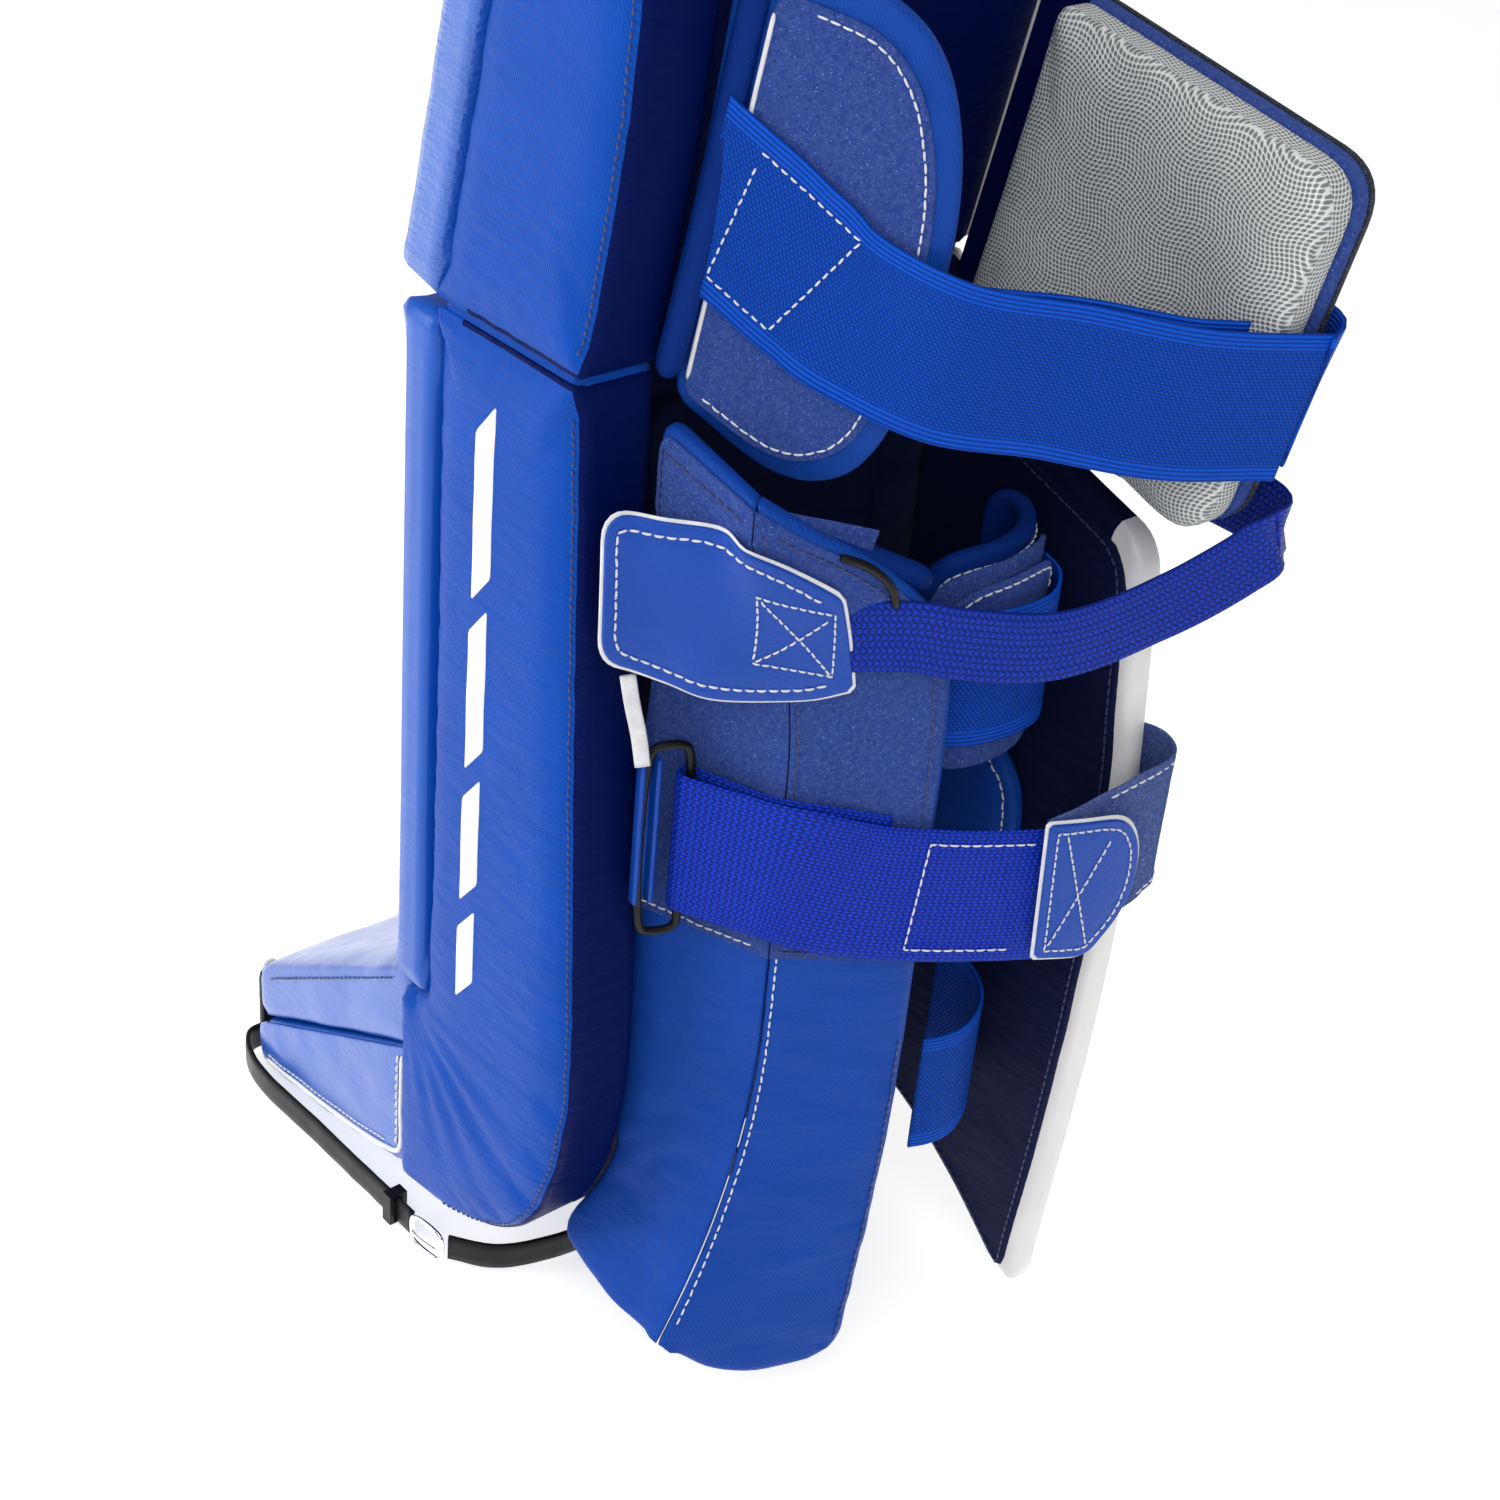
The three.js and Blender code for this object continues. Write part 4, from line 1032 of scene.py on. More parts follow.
def build_knee_wing():
    """The outer knee wing: a stitched loop panel on a padded flap, and the folded cloth at its root."""
    place = upright((83, 72), 129, thigh_pt)
    outline = [(0, 598, 10), (60, 566, 40), (98, 590, 40), (106, 720, 60), (74, 806, 50), (0, 812, 20)]
    pad = Panel("knee_wing", outline, place, 0, 13.4, WING_NYLON, top=6, cell=4.5, crown=0,
                relief=lambda s, t, d: -1.1 * math.exp(-((d - 5) / 2.2) ** 2) + 0.4 * ripple(s / 20, t / 14))
    swell(pad.piece, cap=0.6, pinned=pad.walls)
    finish_piece(pad.piece, "knee_wing", "knee_wing_pad")
    face = [(5, 604, 8), (56, 580, 26), (88, 602, 28), (96, 720, 50), (66, 794, 40), (5, 800, 10)]
    loop = Panel("knee_wing_loop", face, place, 14.2, 16, BLUE_LOOP, top=0.9, bottom=0.2, cell=4,
                 relief=lambda s, t, d: 0.35 * ripple(s / 7, t / 7) - 0.8 * math.exp(-((d - 4) / 1.4) ** 2))
    sewn = inset_run(loop.ring, 4.0, lambda s, t: s > 14)
    sew("knee_wing_stitch", traced(loop, sewn[::2]), "knee_wing")
    cut = inset_run(loop.ring, 0.6, lambda s, t: s < 10 and 612 < t < 795)
    edge = [place(s, t, 15.6) / MM for s, t in cut[::2]]
    binding = tube("knee_wing_cut_edge", edge, 1.1, CUT_EDGE)
    finish_piece(binding, "knee_wing")
    finish_piece(loop.piece, "knee_wing", "knee_wing_loop_panel")
    for number, (x, y, radius) in enumerate(((99, 78, 6.5), (90, 66, 5.5))):
        path = [(x - 2 + 3 * math.sin(z / 70 + number), y + 2 * math.cos(z / 50), z)
                for z in range(612, 850, 30)]
        # Painted shade: the inner fold, deeper in shade, goes in the shaded nylon, and the outer one goes in
        # the lit wing nylon.
        root = tube(f"knee_wing_root_{number + 1}", path, radius, WING_NYLON if number else SHADED_NYLON,
                    at=thigh_pt, sides=16, step=4)
        finish_piece(root, "thigh_rise")


def build_knee_block():
    """The medial knee block: mesh over foam, its loop and hook backing, and the hinge strip."""
    outline = [(64, 580, 6), (240, 566, 26), (240, 762, 26), (64, 756, 6)]
    place = side_place(thigh_pt)
    face = Panel("knee_block_face", outline, place, -128, -105.5, GREY_MESH, top=8, bottom=2, cell=5,
                 crown=1.5, relief=lambda s, t, d: 0.5 * ripple(s / 40, t / 40, 2))
    swell(face.piece, cap=2.0, pinned=face.walls)
    finish_piece(face.piece, "knee_block", "knee_block_face_cover", "knee_block_foam")
    grown = [(63, 579, 6), (241, 565, 27), (241, 763, 27), (63, 757, 6)]
    backing = Panel("knee_block_backing", grown, place, -138.5, -128.4, BLUE_LOOP, top=3, cell=5,
                    relief=lambda s, t, d: 0.4 * ripple(s / 8, t / 8, 1))
    finish_piece(backing.piece, "knee_block", "knee_block_backing_pad")
    hook = Panel("knee_block_hook", grown, place, -142, -138.7, HOOK, top=1.2, cell=5,
                 relief=lambda s, t, d: 0.4 * ripple(s / 5, t / 5, 6))
    finish_piece(hook.piece, "knee_block")
    strip = Panel("knee_block_hinge", [(30.6, 575, 4), (63.5, 560, 4), (63.5, 757, 4), (30.6, 757, 4)],
                  place, -139, -136, NAVY_AND_SHADE_NYLON, top=1.2, cell=5)
    finish_piece(strip.piece, "thigh_rise", "knee_block_hinge_strip")


KNEE_STRAP = [(99.5, 79, 706), (83.8, 98.4, 693), (68.6, 117.2, 680), (54, 136, 669), (26, 171, 660),
              (-24, 199, 655), (-76, 228, 649), (-134, 251, 648)]


def strap_point(path, share, across, out, at, up):
    """A point on a strap's outer face: share along it, across its width, out from its middle, in mm."""
    line = smooth_path([at(*p) / MM for p in path], 3.0)
    i = min(max(share, 0.0), 1.0) * (len(line) - 1)
    k = min(int(i), len(line) - 2)
    centre = line[k].lerp(line[k + 1], i - k)
    tangent = (line[k + 1] - line[k]).normalized()
    side = (up - tangent * up.dot(tangent)).normalized()
    normal = tangent.cross(side)
    return (centre + side * across + normal * out) * MM, normal


def strap_run(path, marks, out, at=pt, up=UP):
    """Straight runs of (mm along, mm across) marks on a strap, as points and normals."""
    line = smooth_path([at(*p) / MM for p in path], 3.0)
    total = path_length(line)
    return [strap_point(path, u / total, v, out, at, up) for u, v in straight(marks, 10)]


def build_knee_strap():
    """The wide elastic from the knee wing around the leg to the knee block."""
    def wave(u, v):
        return 0.5 * ripple(u / 40, v / 60, 3) + 0.7 * (abs(v) / 41) ** 6

    main = strap("knee_strap", KNEE_STRAP, 82, 2, ELASTIC, at=thigh_pt, up=THIGH_UP, lift=wave,
                 ends=(-40, 0))
    finish_piece(main, "knee_strap", "knee_strap_elastic")
    inner = strap("knee_strap_inner", [(18, 170, 656), (-26, 193.5, 655), (-70, 219, 651), (-96, 230, 650)],
                  82, 2, ELASTIC, at=thigh_pt, up=THIGH_UP, lift=wave)
    finish_piece(inner, "knee_strap", "knee_strap_inner_layer")
    anchor = strap("knee_strap_anchor_band", [(-138, 250, 648), (-147, 244, 650), (-149, 228, 650),
                                              (-147, 180, 655), (-145, 120, 660)],
                   82, 2, ELASTIC, at=thigh_pt, up=THIGH_UP)
    finish_piece(anchor, "knee_block", "knee_strap_anchor")
    box = [(6, 31), (62, 31), (62, -31), (26, -31), (7, 28)]
    sew("knee_strap_stitch", strap_run(KNEE_STRAP, box, 1.2, thigh_pt, THIGH_UP), "knee_strap",
        length=3.6, gap=1.6)


# ---------------------------------------------------------------- boot and toe strap
BOOT_LEFT, BOOT_RIGHT = -126, 128


def build_boot():
    """The boot: its padded face, two side walls with their panels, the piping and the toe bridge."""
    place = side_place(pt)
    face = Panel("boot_face", [(-71, 187, 8), (-240, 80, 8), (-238, 42, 8), (-71, 131, 3)], place,
                 BOOT_LEFT, BOOT_RIGHT, BLUE_LEATHER, top=5, cell=6,
                 relief=lambda s, t, d: 0.8 * ripple(s / 30, t / 30, 7))
    swell(face.piece, cap=2.5)
    finish_piece(face.piece, "boot", "boot_face_cover", "boot_face_foam")
    wall = [(-72, 128, 3), (-237, 40, 6), (-235, 10, 12), (-136, 25, 30), (-72, 42, 8)]
    lateral = Panel("boot_wall_lateral", wall, place, 62, 124.8, BLUE_LEATHER, top=4, cell=7)
    finish_piece(lateral.piece, "boot", "boot_wall_foam")
    medial = Panel("boot_wall_medial", wall, place, -122.8, -62, LINING, top=4, cell=7)
    finish_piece(medial.piece, "boot")

    def puffed(s, t, d):
        return 2.2 * (1 - math.exp(-d / 14)) + 0.9 * ripple(s / 22, t / 26, 11)

    side = Panel("boot_side_lateral", wall, place, 125, 127.6, BLUE_LEATHER, top=1.2, bottom=0.4, cell=4.5,
                 relief=puffed)
    finish_piece(side.piece, "boot", "boot_side_panel_lateral")
    inner = Panel("boot_side_medial", wall, place, -126, -123.2, WHITE_LEATHER, top=1.2, cell=6)
    finish_piece(inner.piece, "boot", "boot_side_panel_medial")
    hem = [(-76, 120), (-76, 84), (-77, 50), (-92, 42), (-136, 31), (-190, 22), (-227, 17)]
    rim = [side.on_top(y, z, 0.7)[0] / MM for y, z in hem]
    piping = tube("boot_piping_cord", rim, 1.5, WHITE_LEATHER, sides=12)
    finish_piece(piping, "boot", "boot_piping")
    sew("boot_side_stitch", laid(side, [(-80, 118), (-80, 52)]), "boot", length=5.5, gap=1.2, radius=0.9)
    above_hem = [(y + (4 if y > -80 else 0), z + 5) for y, z in hem[3:]]
    sew("boot_hem_stitch", traced(side, above_hem), "boot", length=3.6, seed=3)
    top_seam = [(place(-90 - 15 * k, 167 - 9.6 * k, BOOT_RIGHT - 1.2), Vector((0.6, 0, 0.8)))
                for k in range(10)]
    sew("boot_top_stitch", top_seam, "boot", DARK_THREAD, seed=7)

    bridge = Panel("toe_bridge_tongue", [(96, 12, 5), (122, 12, 5), (122, 74, 8), (96, 74, 8)],
                   front_place(pt), 241, 246.6, BLACK_LEATHER, top=1.6, cell=4)
    finish_piece(bridge.piece, "boot", "toe_bridge")
    loop = [(105, -251, 50), (96, -259, 46), (102, -264, 36), (114, -262, 40), (113, -251, 50),
            (104, -258, 55), (101, -262, 61), (108, -262, 60), (110, -252, 51)]
    lace = tube("toe_lace_cord", loop, 1.8, WHITE_LEATHER, at=pt)
    finish_piece(lace, "boot", "toe_lace")


def build_toe_strap():
    """The black strap around the boot, in a length in front of its buckle and one behind it."""
    middle = 11
    front = [(110, -257), (124, -255), (135.5, -230), (135.5, -150), (133.5, -55)]
    rear = [(128, -26), (110, -4), (76, 9), (0, 14), (-76, 9), (-112, -8), (-121, -44)]
    lengths = (("toe_strap_fore", front, "toe_strap_front"), ("toe_strap_aft", rear, "toe_strap_rear"))
    for name, path, node in lengths:
        made = strap(name, [(x, y, middle) for x, y in path], 18, 3, BLACK_LEATHER,
                     lift=lambda u, v: 0.3 * ripple(u / 15, v / 9, 4))
        finish_piece(made, "toe_strap", node)
    build_toe_buckle(Vector((134.5, -39, 0)), middle + 0.5)
    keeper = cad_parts["toe_strap_keeper"]
    keeper.data.materials.clear()
    keeper.data.materials.append(BLACK_LEATHER)


def build_toe_buckle(centre, prong_height):
    """A rounded rectangular wire frame and its prong. centre is under the frame's middle, at the ice."""
    turn = math.pi / 2 + 0.12  # the strap's heading beside the boot
    along = Vector((math.cos(turn), math.sin(turn), 0))
    corners = ((-12.5, 4), (-12.5, 19), (-9, 21.5), (9, 21.5), (12.5, 19), (12.5, 4), (9, 1.5), (-9, 1.5))
    frame_path = [centre + along * x + UP * z for x, z in corners]
    made = tube("toe_buckle", [pt(*p) / MM for p in frame_path], 1.5, STEEL, closed=True, sides=12, step=1.2)
    finish_piece(made, "toe_buckle", "toe_buckle_frame")
    out = Vector((math.sin(turn), -math.cos(turn), 0)) * 3.2
    prong_path = [centre + along * x + out * lift + UP * prong_height
                  for x, lift in ((-11, 0.6), (-5, 1.15), (4, 1.15), (11, 0.9))]
    prong = tube("toe_prong_pin", [pt(*p) / MM for p in prong_path], 1.0, STEEL, sides=10, step=1.2)
    finish_piece(prong, "toe_prong", "toe_buckle_prong")


# ---------------------------------------------------------------- calf wings
def above(z):
    """How far a height is above the wing's straight middle, up to a limit, in mm."""
    return min(max(z - 400, 0), 140)


def below(z):
    """How far a height is below the wing's straight middle, in mm."""
    return max(0, 250 - z)


def wing_corners(z):
    """The wing's outer face in plan at one height: its foot, its fold and its rear edge."""
    flare = max(0, 130 - z)
    foot = Vector((86 + 0.0008 * above(z) ** 2 + 0.0059 * flare ** 2, 66 + 0.12 * above(z) - 0.33 * flare))
    fold = Vector((54 + 0.0019 * above(z) ** 2 + 0.0014 * below(z) ** 2, 140))
    edge = Vector((-10 + 0.001 * above(z) ** 2 + 0.0004 * below(z) ** 2, 182))
    return foot, fold, edge


def on_wing(share, z, out):
    """A layout point beside the wing: shares up to 1 are on the front panel, past 1 on the rear one."""
    foot, fold, edge = wing_corners(z)
    front = Vector(((fold - foot).y, -(fold - foot).x)).normalized()
    rear = Vector(((edge - fold).y, -(edge - fold).x)).normalized()
    corner = (front + rear) * out / (1 + front.dot(rear))
    foot, fold, edge = foot + front * out, fold + corner, edge + rear * out
    spot = foot.lerp(fold, share) if share < 1 else fold.lerp(edge, share - 1)
    return spot.x, spot.y, z


FRONT_SPAN, REAR_SPAN = 80, 76  # the two panels' widths along the cloth


def front_wing(s, t, n):
    """The front panel's cloth: s runs from its foot to the fold."""
    return pt(*on_wing(s / FRONT_SPAN, t, n))


def rear_wing(s, t, n):
    """The rear panel's cloth: s runs from the fold to its rear edge."""
    return pt(*on_wing(1 + max(s, 0.001) / REAR_SPAN, t, n))


def quilted(seed):
    """Wrinkles that are strong below the loop panels and faint under them."""
    def relief(s, t, d):
        low = min(1, max(0, (300 - t) / 60))
        wrinkles = ripple(s / 40, t / 13, seed) + 0.6 * ripple(s / 18, t / 30, seed + 4)
        return low * (1.5 * wrinkles) + 0.25 * ripple(s / 30, t / 30, seed)
    return relief


def build_calf_wings():
    """The outer calf wing: two padded panels that meet at its fold, with a loop panel on each."""
    pucker = quilted(2)

    def front_relief(s, t, d):
        from_fold = FRONT_SPAN - s
        return pucker(s, t, d) + 1.6 * ripple(s / 30, t / 7, 3) * math.exp(-from_fold / 13) * (t < 296)

    def rear_relief(s, t, d):
        hem = -1.2 * math.exp(-((REAR_SPAN - 7 - s) / 1.6) ** 2)
        return pucker(s, t, d) + hem + 1.5 * ripple(s / 30, t / 8, 5) * math.exp(-s / 12) * (t < 296)

    def front_edge(s, t):
        return 2.0 if s > FRONT_SPAN - 8 else 5

    def rear_edge(s, t):
        return 2.0 if s < 8 else 5

    def fuzz_relief(s, t, d):
        return 0.35 * ripple(s / 8, t / 8, 5) - 0.7 * math.exp(-((d - 4) / 1.3) ** 2)

    front = Panel("calf_wing_front_cover", [(0, 70, 14), (45, 58, 20), (79.6, 54), (79.6, 560), (4, 580, 12),
                                            (0, 572, 4)], front_wing, -12, 0.2, WING_NYLON, top=5, cell=4.5,
                  relief=front_relief, smooth_top=front_edge)
    swell(front.piece, cap=1.6, pinned=front.walls)
    finish_piece(front.piece, "calf_wing_front", "calf_wing_front_pad")
    outline = [(0.4, 54), (36, 24, 20), (76, 24, 16), (76, 488, 26), (46, 526, 24), (0.4, 560)]
    rear = Panel("calf_wing_rear_cover", outline, rear_wing, -12, 0.2, WING_NYLON, top=5, cell=4.5,
                 relief=rear_relief, smooth_top=rear_edge)
    swell(rear.piece, cap=1.6, pinned=rear.walls)
    finish_piece(rear.piece, "calf_wing_rear", "calf_wing_rear_pad")
    sew("wing_fold_stitch", traced(rear, [(4, 296), (4, 200), (4, 120), (4, 62)]), "calf_wing_rear",
        length=4.4, gap=1.6, radius=0.55)
    hem = [(72.5, z) for z in range(40, 280, 40)]
    sew("wing_hem_stitch", traced(rear, hem), "calf_wing_rear", DARK_THREAD, seed=4)
    loop_front = Panel("wing_loop_front", [(2, 299, 8), (79.7, 295), (79.7, 557), (3, 577, 12)], front_wing,
                       0.7, 2.4, BLUE_LOOP, top=0.8, bottom=0.2, cell=4, relief=fuzz_relief)
    finish_piece(loop_front.piece, "calf_wing_front", "calf_wing_loop_front")
    outline = [(0.3, 295), (73, 293, 8), (73, 486, 22), (46, 522, 24), (0.3, 557)]
    loop_rear = Panel("wing_loop_rear", outline, rear_wing, 0.7, 2.4, BLUE_LOOP, top=0.8, bottom=0.2,
                      cell=4, relief=fuzz_relief)
    finish_piece(loop_rear.piece, "calf_wing_rear", "calf_wing_loop_rear")
    corner = [(6, 336), (6, 304), (40, 301), (74, 300)]
    sew("wing_loop_stitch_low", laid(loop_front, corner), "calf_wing_front")
    top = [(6, 440), (6, 568), (74, 550)]
    sew("wing_loop_stitch_top", laid(loop_front, top), "calf_wing_front", DARK_THREAD, seed=2)
    sew("wing_loop_stitch_fold", laid(loop_rear, [(4, 545), (4, 300), (66, 298)]), "calf_wing_rear",
        DARK_THREAD, seed=6)
    rim = [(68, 302), (68, 380), (67, 450), (66, 484), (44, 514), (8, 545)]
    sew("wing_loop_stitch_rear", traced(loop_rear, rim), "calf_wing_rear", DARK_THREAD, seed=8)


def build_wing_flap():
    """A small loop-cloth flap behind the wing's top edge, and the padded fold below it."""
    flap = [on_wing(share, 543 - 24 * (share - 1), -13.5) for share in (1.0, 1.2, 1.4, 1.6)]
    made = strap("wing_top_flap", flap, 17, 2.4, BLUE_LOOP, lift=lambda u, v: 0.4 * ripple(u / 9, v / 9, 3))
    finish_piece(made, "calf_wing_rear")
    fold = [on_wing(share, 543 - 40 * (share - 1), -15) for share in (1.0, 1.3, 1.6, 1.9)]
    # Painted shade: the fold goes in the darker shaded nylon.
    roll = tube("wing_top_fold", [pt(*p) / MM for p in fold], 7, SHADED_NYLON, sides=16, step=4)
    finish_piece(roll, "calf_wing_rear")


def build_medial_wing():
    """The medial calf wing: a white sliding cover, its navy lining, and the ankle pad sewn on that."""
    place = side_place(pt)

    def outline(inset):
        return [(32, 96 + inset, 20), (98, 68 + inset, 20), (150, 30 + inset, 20),
                (188 - inset, 4 + inset, 14), (203 - inset, 190, 80), (206 - inset, 320, 80),
                (188 - inset, 500 - inset, 20), (32, 548 - inset, 10)]

    def wavy(s, t, d):
        return 0.8 * ripple(s / 50, t / 40, 9)

    cover = Panel("medial_wing_cover", outline(0), place, -143, -125, WHITE_LEATHER, top=5, bottom=5, cell=5,
                  relief=wavy)
    swell(cover.piece, cap=1.2, pinned=cover.walls)
    cover.edge_cloth(LINING, 15, lambda s, t: t > 490 and s < 170)
    finish_piece(cover.piece, "medial_wing", "medial_wing_slide_cover", "medial_wing_foam")
    face = Panel("medial_wing_lining", outline(8), place, -126, -122.4, LINING, top=1.6, bottom=0.4, cell=5,
                 relief=wavy)
    finish_piece(face.piece, "medial_wing", "medial_wing_inner_cover")
    run = inset_run(face.ring, 3.5, lambda s, t: s > 40)
    sew("medial_lining_stitch", traced(face, run[::3]), "medial_wing", DARK_THREAD, seed=12)
    pad = Panel("ankle_pad", [(66, 330, 4), (66, 224, 10), (138, 232, 20), (146, 330, 30), (122, 356, 14),
                              (66, 350, 8)], place, -120.4, -112, WING_NYLON, top=4, bottom=1, cell=4,
                crown=1.5, relief=lambda s, t, d: -1.4 * math.exp(-((d - 7) / 1.8) ** 2))
    swell(pad.piece, cap=2.0, pinned=pad.walls)
    run = inset_run(pad.ring, 7)
    sew("ankle_pad_stitch", traced(pad, run[::3]), "medial_wing", seed=13)
    finish_piece(pad.piece, "medial_wing", "ankle_side_pad")


# ---------------------------------------------------------------- calf wrap
def path_place(path, at=pt):
    """Panels that follow a level path: s runs along it, t is z and n points to its right."""
    line = smooth_path([Vector((x, y, 0)) for x, y in path], 1.0)
    total = len(line) - 1

    def place(s, t, n):
        i = min(max(s, 0.0), total - 0.001)
        k = int(i)
        spot = line[k].lerp(line[k + 1], i - k)
        ahead = (line[min(k + 3, total)] - line[max(k - 3, 0)]).normalized()
        return at(spot.x + ahead.y * n, spot.y - ahead.x * n, t)
    return place, total


def build_calf_wrap():
    """The inner calf wrap: a bent padded sheet, two layers of loop cloth in it, and the elastic behind."""
    bend = [(-95, 106), (-97, 128), (-82, 147), (-60, 152), (-40, 146), (-26, 130)]
    place, length = path_place(bend)
    low, high = 384, 512

    def sheet(name, start, end, top, inner, outer, material, edge, relief):
        outline = [(start, low + 6, 12), (end, low + 2, 16), (end, top - 10, 30), (start + 20, top, 24),
                   (start, top - 6, 14)]
        return Panel(name, outline, place, inner, outer, material, top=edge, cell=4, relief=relief)

    def soft(s, t, d):
        return -1.6 * math.exp(-((d - 9) / 2.4) ** 2) + 0.6 * ripple(s / 22, t / 22, 3)

    def fuzzy(s, t, d):
        return 0.5 * ripple(s / 9, t / 9, 2)

    # Painted shade: the sheet inside the leg channel goes in the darker shaded nylon.
    pad = sheet("calf_wrap_sheet", 2, length - 2, high, -5, 5, SHADED_NYLON, 4.5, soft)
    swell(pad.piece, cap=2.5, pinned=pad.walls)
    run = inset_run(pad.ring, 9, lambda s, t: t > low + 20)
    sew("calf_wrap_stitch", traced(pad, run[::3], face="under"), "calf_wrap")
    finish_piece(pad.piece, "calf_wrap", "calf_wrap_pad")
    first = sheet("calf_wrap_loop_inner", 34, length - 8, high - 8, -10.5, -7.5, BLUE_LOOP, 1.2, fuzzy)
    finish_piece(first.piece, "calf_wrap", "calf_wrap_loop_layers")
    second = sheet("calf_wrap_loop_outer", 42, length - 14, high - 16, -15.5, -12.5, BLUE_LOOP, 1.2, fuzzy)
    finish_piece(second.piece, "calf_wrap")
    run = inset_run(second.ring, 3, lambda s, t: t > high - 44)
    sew("calf_wrap_loop_stitch", traced(second, run[::2], face="under"), "calf_wrap", seed=3)
    build_leg_elastics()


def build_leg_elastics():
    """The wide elastics behind the leg, at the calf wrap and at the ankle."""
    def wave(u, v):
        return 0.6 * ripple(u / 30, v / 40, 5) + 0.8 * (abs(v) / 50) ** 6

    around = [(-19, 154.5), (-35, 166), (-58, 172.5), (-84, 170), (-104, 154), (-110, 138)]
    band = strap("calf_wrap_band", [(x, y, 442) for x, y in around], 76, 2, WRAP_ELASTIC, lift=wave)
    finish_piece(band, "calf_wrap", "calf_wrap_elastic")
    ankle = [(-44, 164), (-56, 168), (-72, 168), (-98, 154), (-112, 132), (-118, 100)]
    made = strap("ankle_band", [(x, y, 176) for x, y in ankle], 76, 2, ANKLE_ELASTIC, lift=wave)
    finish_piece(made, "medial_wing", "ankle_elastic")


# ---------------------------------------------------------------- calf straps
TAB_MARKS = (0, 16, 36, 57, 83, 117)  # how far along the upper tab each of its plan points lies


def along_marks(points, marks, s):
    """The point at s on a smooth curve that passes its points at the given marks."""
    last = len(marks) - 1
    k = next((i for i in range(last - 1) if s < marks[i + 1]), last - 1)
    slopes = []
    for i in (k, k + 1):
        before, after = max(i - 1, 0), min(i + 1, last)
        slopes.append((points[after] - points[before]) / (marks[after] - marks[before]))
    width = marks[k + 1] - marks[k]
    share = (s - marks[k]) / width
    near, far = 2 * share ** 3 - 3 * share ** 2 + 1, 3 * share ** 2 - 2 * share ** 3
    spot = points[k] * near + points[k + 1] * far
    leaving, arriving = share ** 3 - 2 * share ** 2 + share, share ** 3 - share ** 2
    return spot + (slopes[0] * width * leaving + slopes[1] * width * arriving)


def tab_place(s, t, n):
    """The upper tab's cloth: from its free end behind the roll, over the wing's fold, to the webbing."""
    grow = 0.0005 * above(t) ** 2
    points = [Vector((136 + 0.3 * grow + 0.3 * n, 91 + n)),
              Vector((121 + 0.6 * grow + 0.4 * n, 95 + 0.9 * n)),
              Vector((105 + grow + 0.6 * n, 106 + 0.8 * n)),
              Vector((92 + 0.4 * grow + 0.8 * n, 123 + 0.6 * n))]
    points += [Vector(on_wing(share, t, 2.4 + n)[:2]) for share in (1.0, 1.4)]
    spot = along_marks(points, TAB_MARKS, s)
    return pt(spot.x, spot.y, t)


def build_upper_tab():
    """The upper strap's leather tab: its hook layer, the pale core at its cut edge, and its stitches."""
    def outline(grow):
        return [(-grow, 470 - grow, 14), (48, 453 - grow, 30), (90, 450 - grow, 20),
                (117 + grow, 457 - grow, 3), (117 + grow, 511 + grow, 3), (84, 541 + grow, 20),
                (-grow, 548 + grow, 15)]

    def sunk(s, t, d):
        return 1.4 * (1 - math.exp(-d / 9)) - 0.9 * math.exp(-((d - 7) / 1.6) ** 2)

    hook = Panel("upper_tab_hook", [(3, 470, 18), (74, 456, 6), (74, 538, 6), (3, 544, 20)], tab_place,
                 0.2, 1.6, HOOK, top=0.4, cell=4)
    finish_piece(hook.piece, "upper_strap")
    edge = Panel("upper_tab_edge", outline(0.9), tab_place, 1.7, 3.0, CUT_EDGE, top=0.4, cell=4)
    finish_piece(edge.piece, "upper_strap")
    tab = Panel("upper_tab", outline(-0.6), tab_place, 3.0, 4.6, TAB_LEATHER, top=1.2, bottom=0.3, cell=3.5,
                relief=sunk)
    run = inset_run(tab.ring, 7, lambda s, t: s < 109)
    sew("upper_tab_stitch", traced(tab, run[::3]), "upper_strap", length=4.6, gap=1.1, radius=0.65)
    square = [(72, 475), (106, 467), (112, 502), (79, 514), (72, 475)]
    sew("upper_tab_box", laid(tab, square), "upper_strap", length=3.6, seed=2)
    sew("upper_tab_cross_1", laid(tab, [(73, 476), (111, 501)]), "upper_strap", length=3.6, seed=3)
    sew("upper_tab_cross_2", laid(tab, [(105, 468), (80, 512)]), "upper_strap", length=3.6, seed=4)
    finish_piece(tab.piece, "upper_strap", "upper_strap_tab")


def build_upper_strap():
    """The upper calf strap: its tab, a slide, the webbing, and the length sewn to the pad."""
    build_upper_tab()
    bend = ((1.42, 532, 1.6), (1.56, 527, 3.4), (1.66, 516, 4.4), (1.68, 504, 4.4))
    slide = tube("upper_strap_slide", [pt(*on_wing(*spot)) / MM for spot in bend], 2.2, BLACK_PLASTIC)
    finish_piece(slide, "upper_strap")

    on_cloth = ((1.28, 487, 3.4), (1.42, 487, 3.5), (1.62, 488, 5.0), (1.8, 488, 6.6), (2, 485, 7.5))
    path = [on_wing(*spot) for spot in on_cloth]
    path += [(-46, 210, 480), (-100, 226, 493), (-137, 240, 513), (-149, 244.5, 523), (-156, 243, 528)]
    band = strap("upper_webbing", path, 38, 2, CHEVRON, lift=lambda u, v: 0.3 * ripple(u / 22, v / 20, 8))
    finish_piece(band, "upper_strap", "upper_strap_webbing")
    anchor = [(-151, 245.4, 525), (-155, 244, 527), (-158, 236, 529), (-158, 200, 530), (-155, 130, 530),
              (-150, 60, 530)]
    made = strap("upper_webbing_anchor", anchor, 38, 2, CHEVRON)
    finish_piece(made, "shin", "upper_strap_anchor")


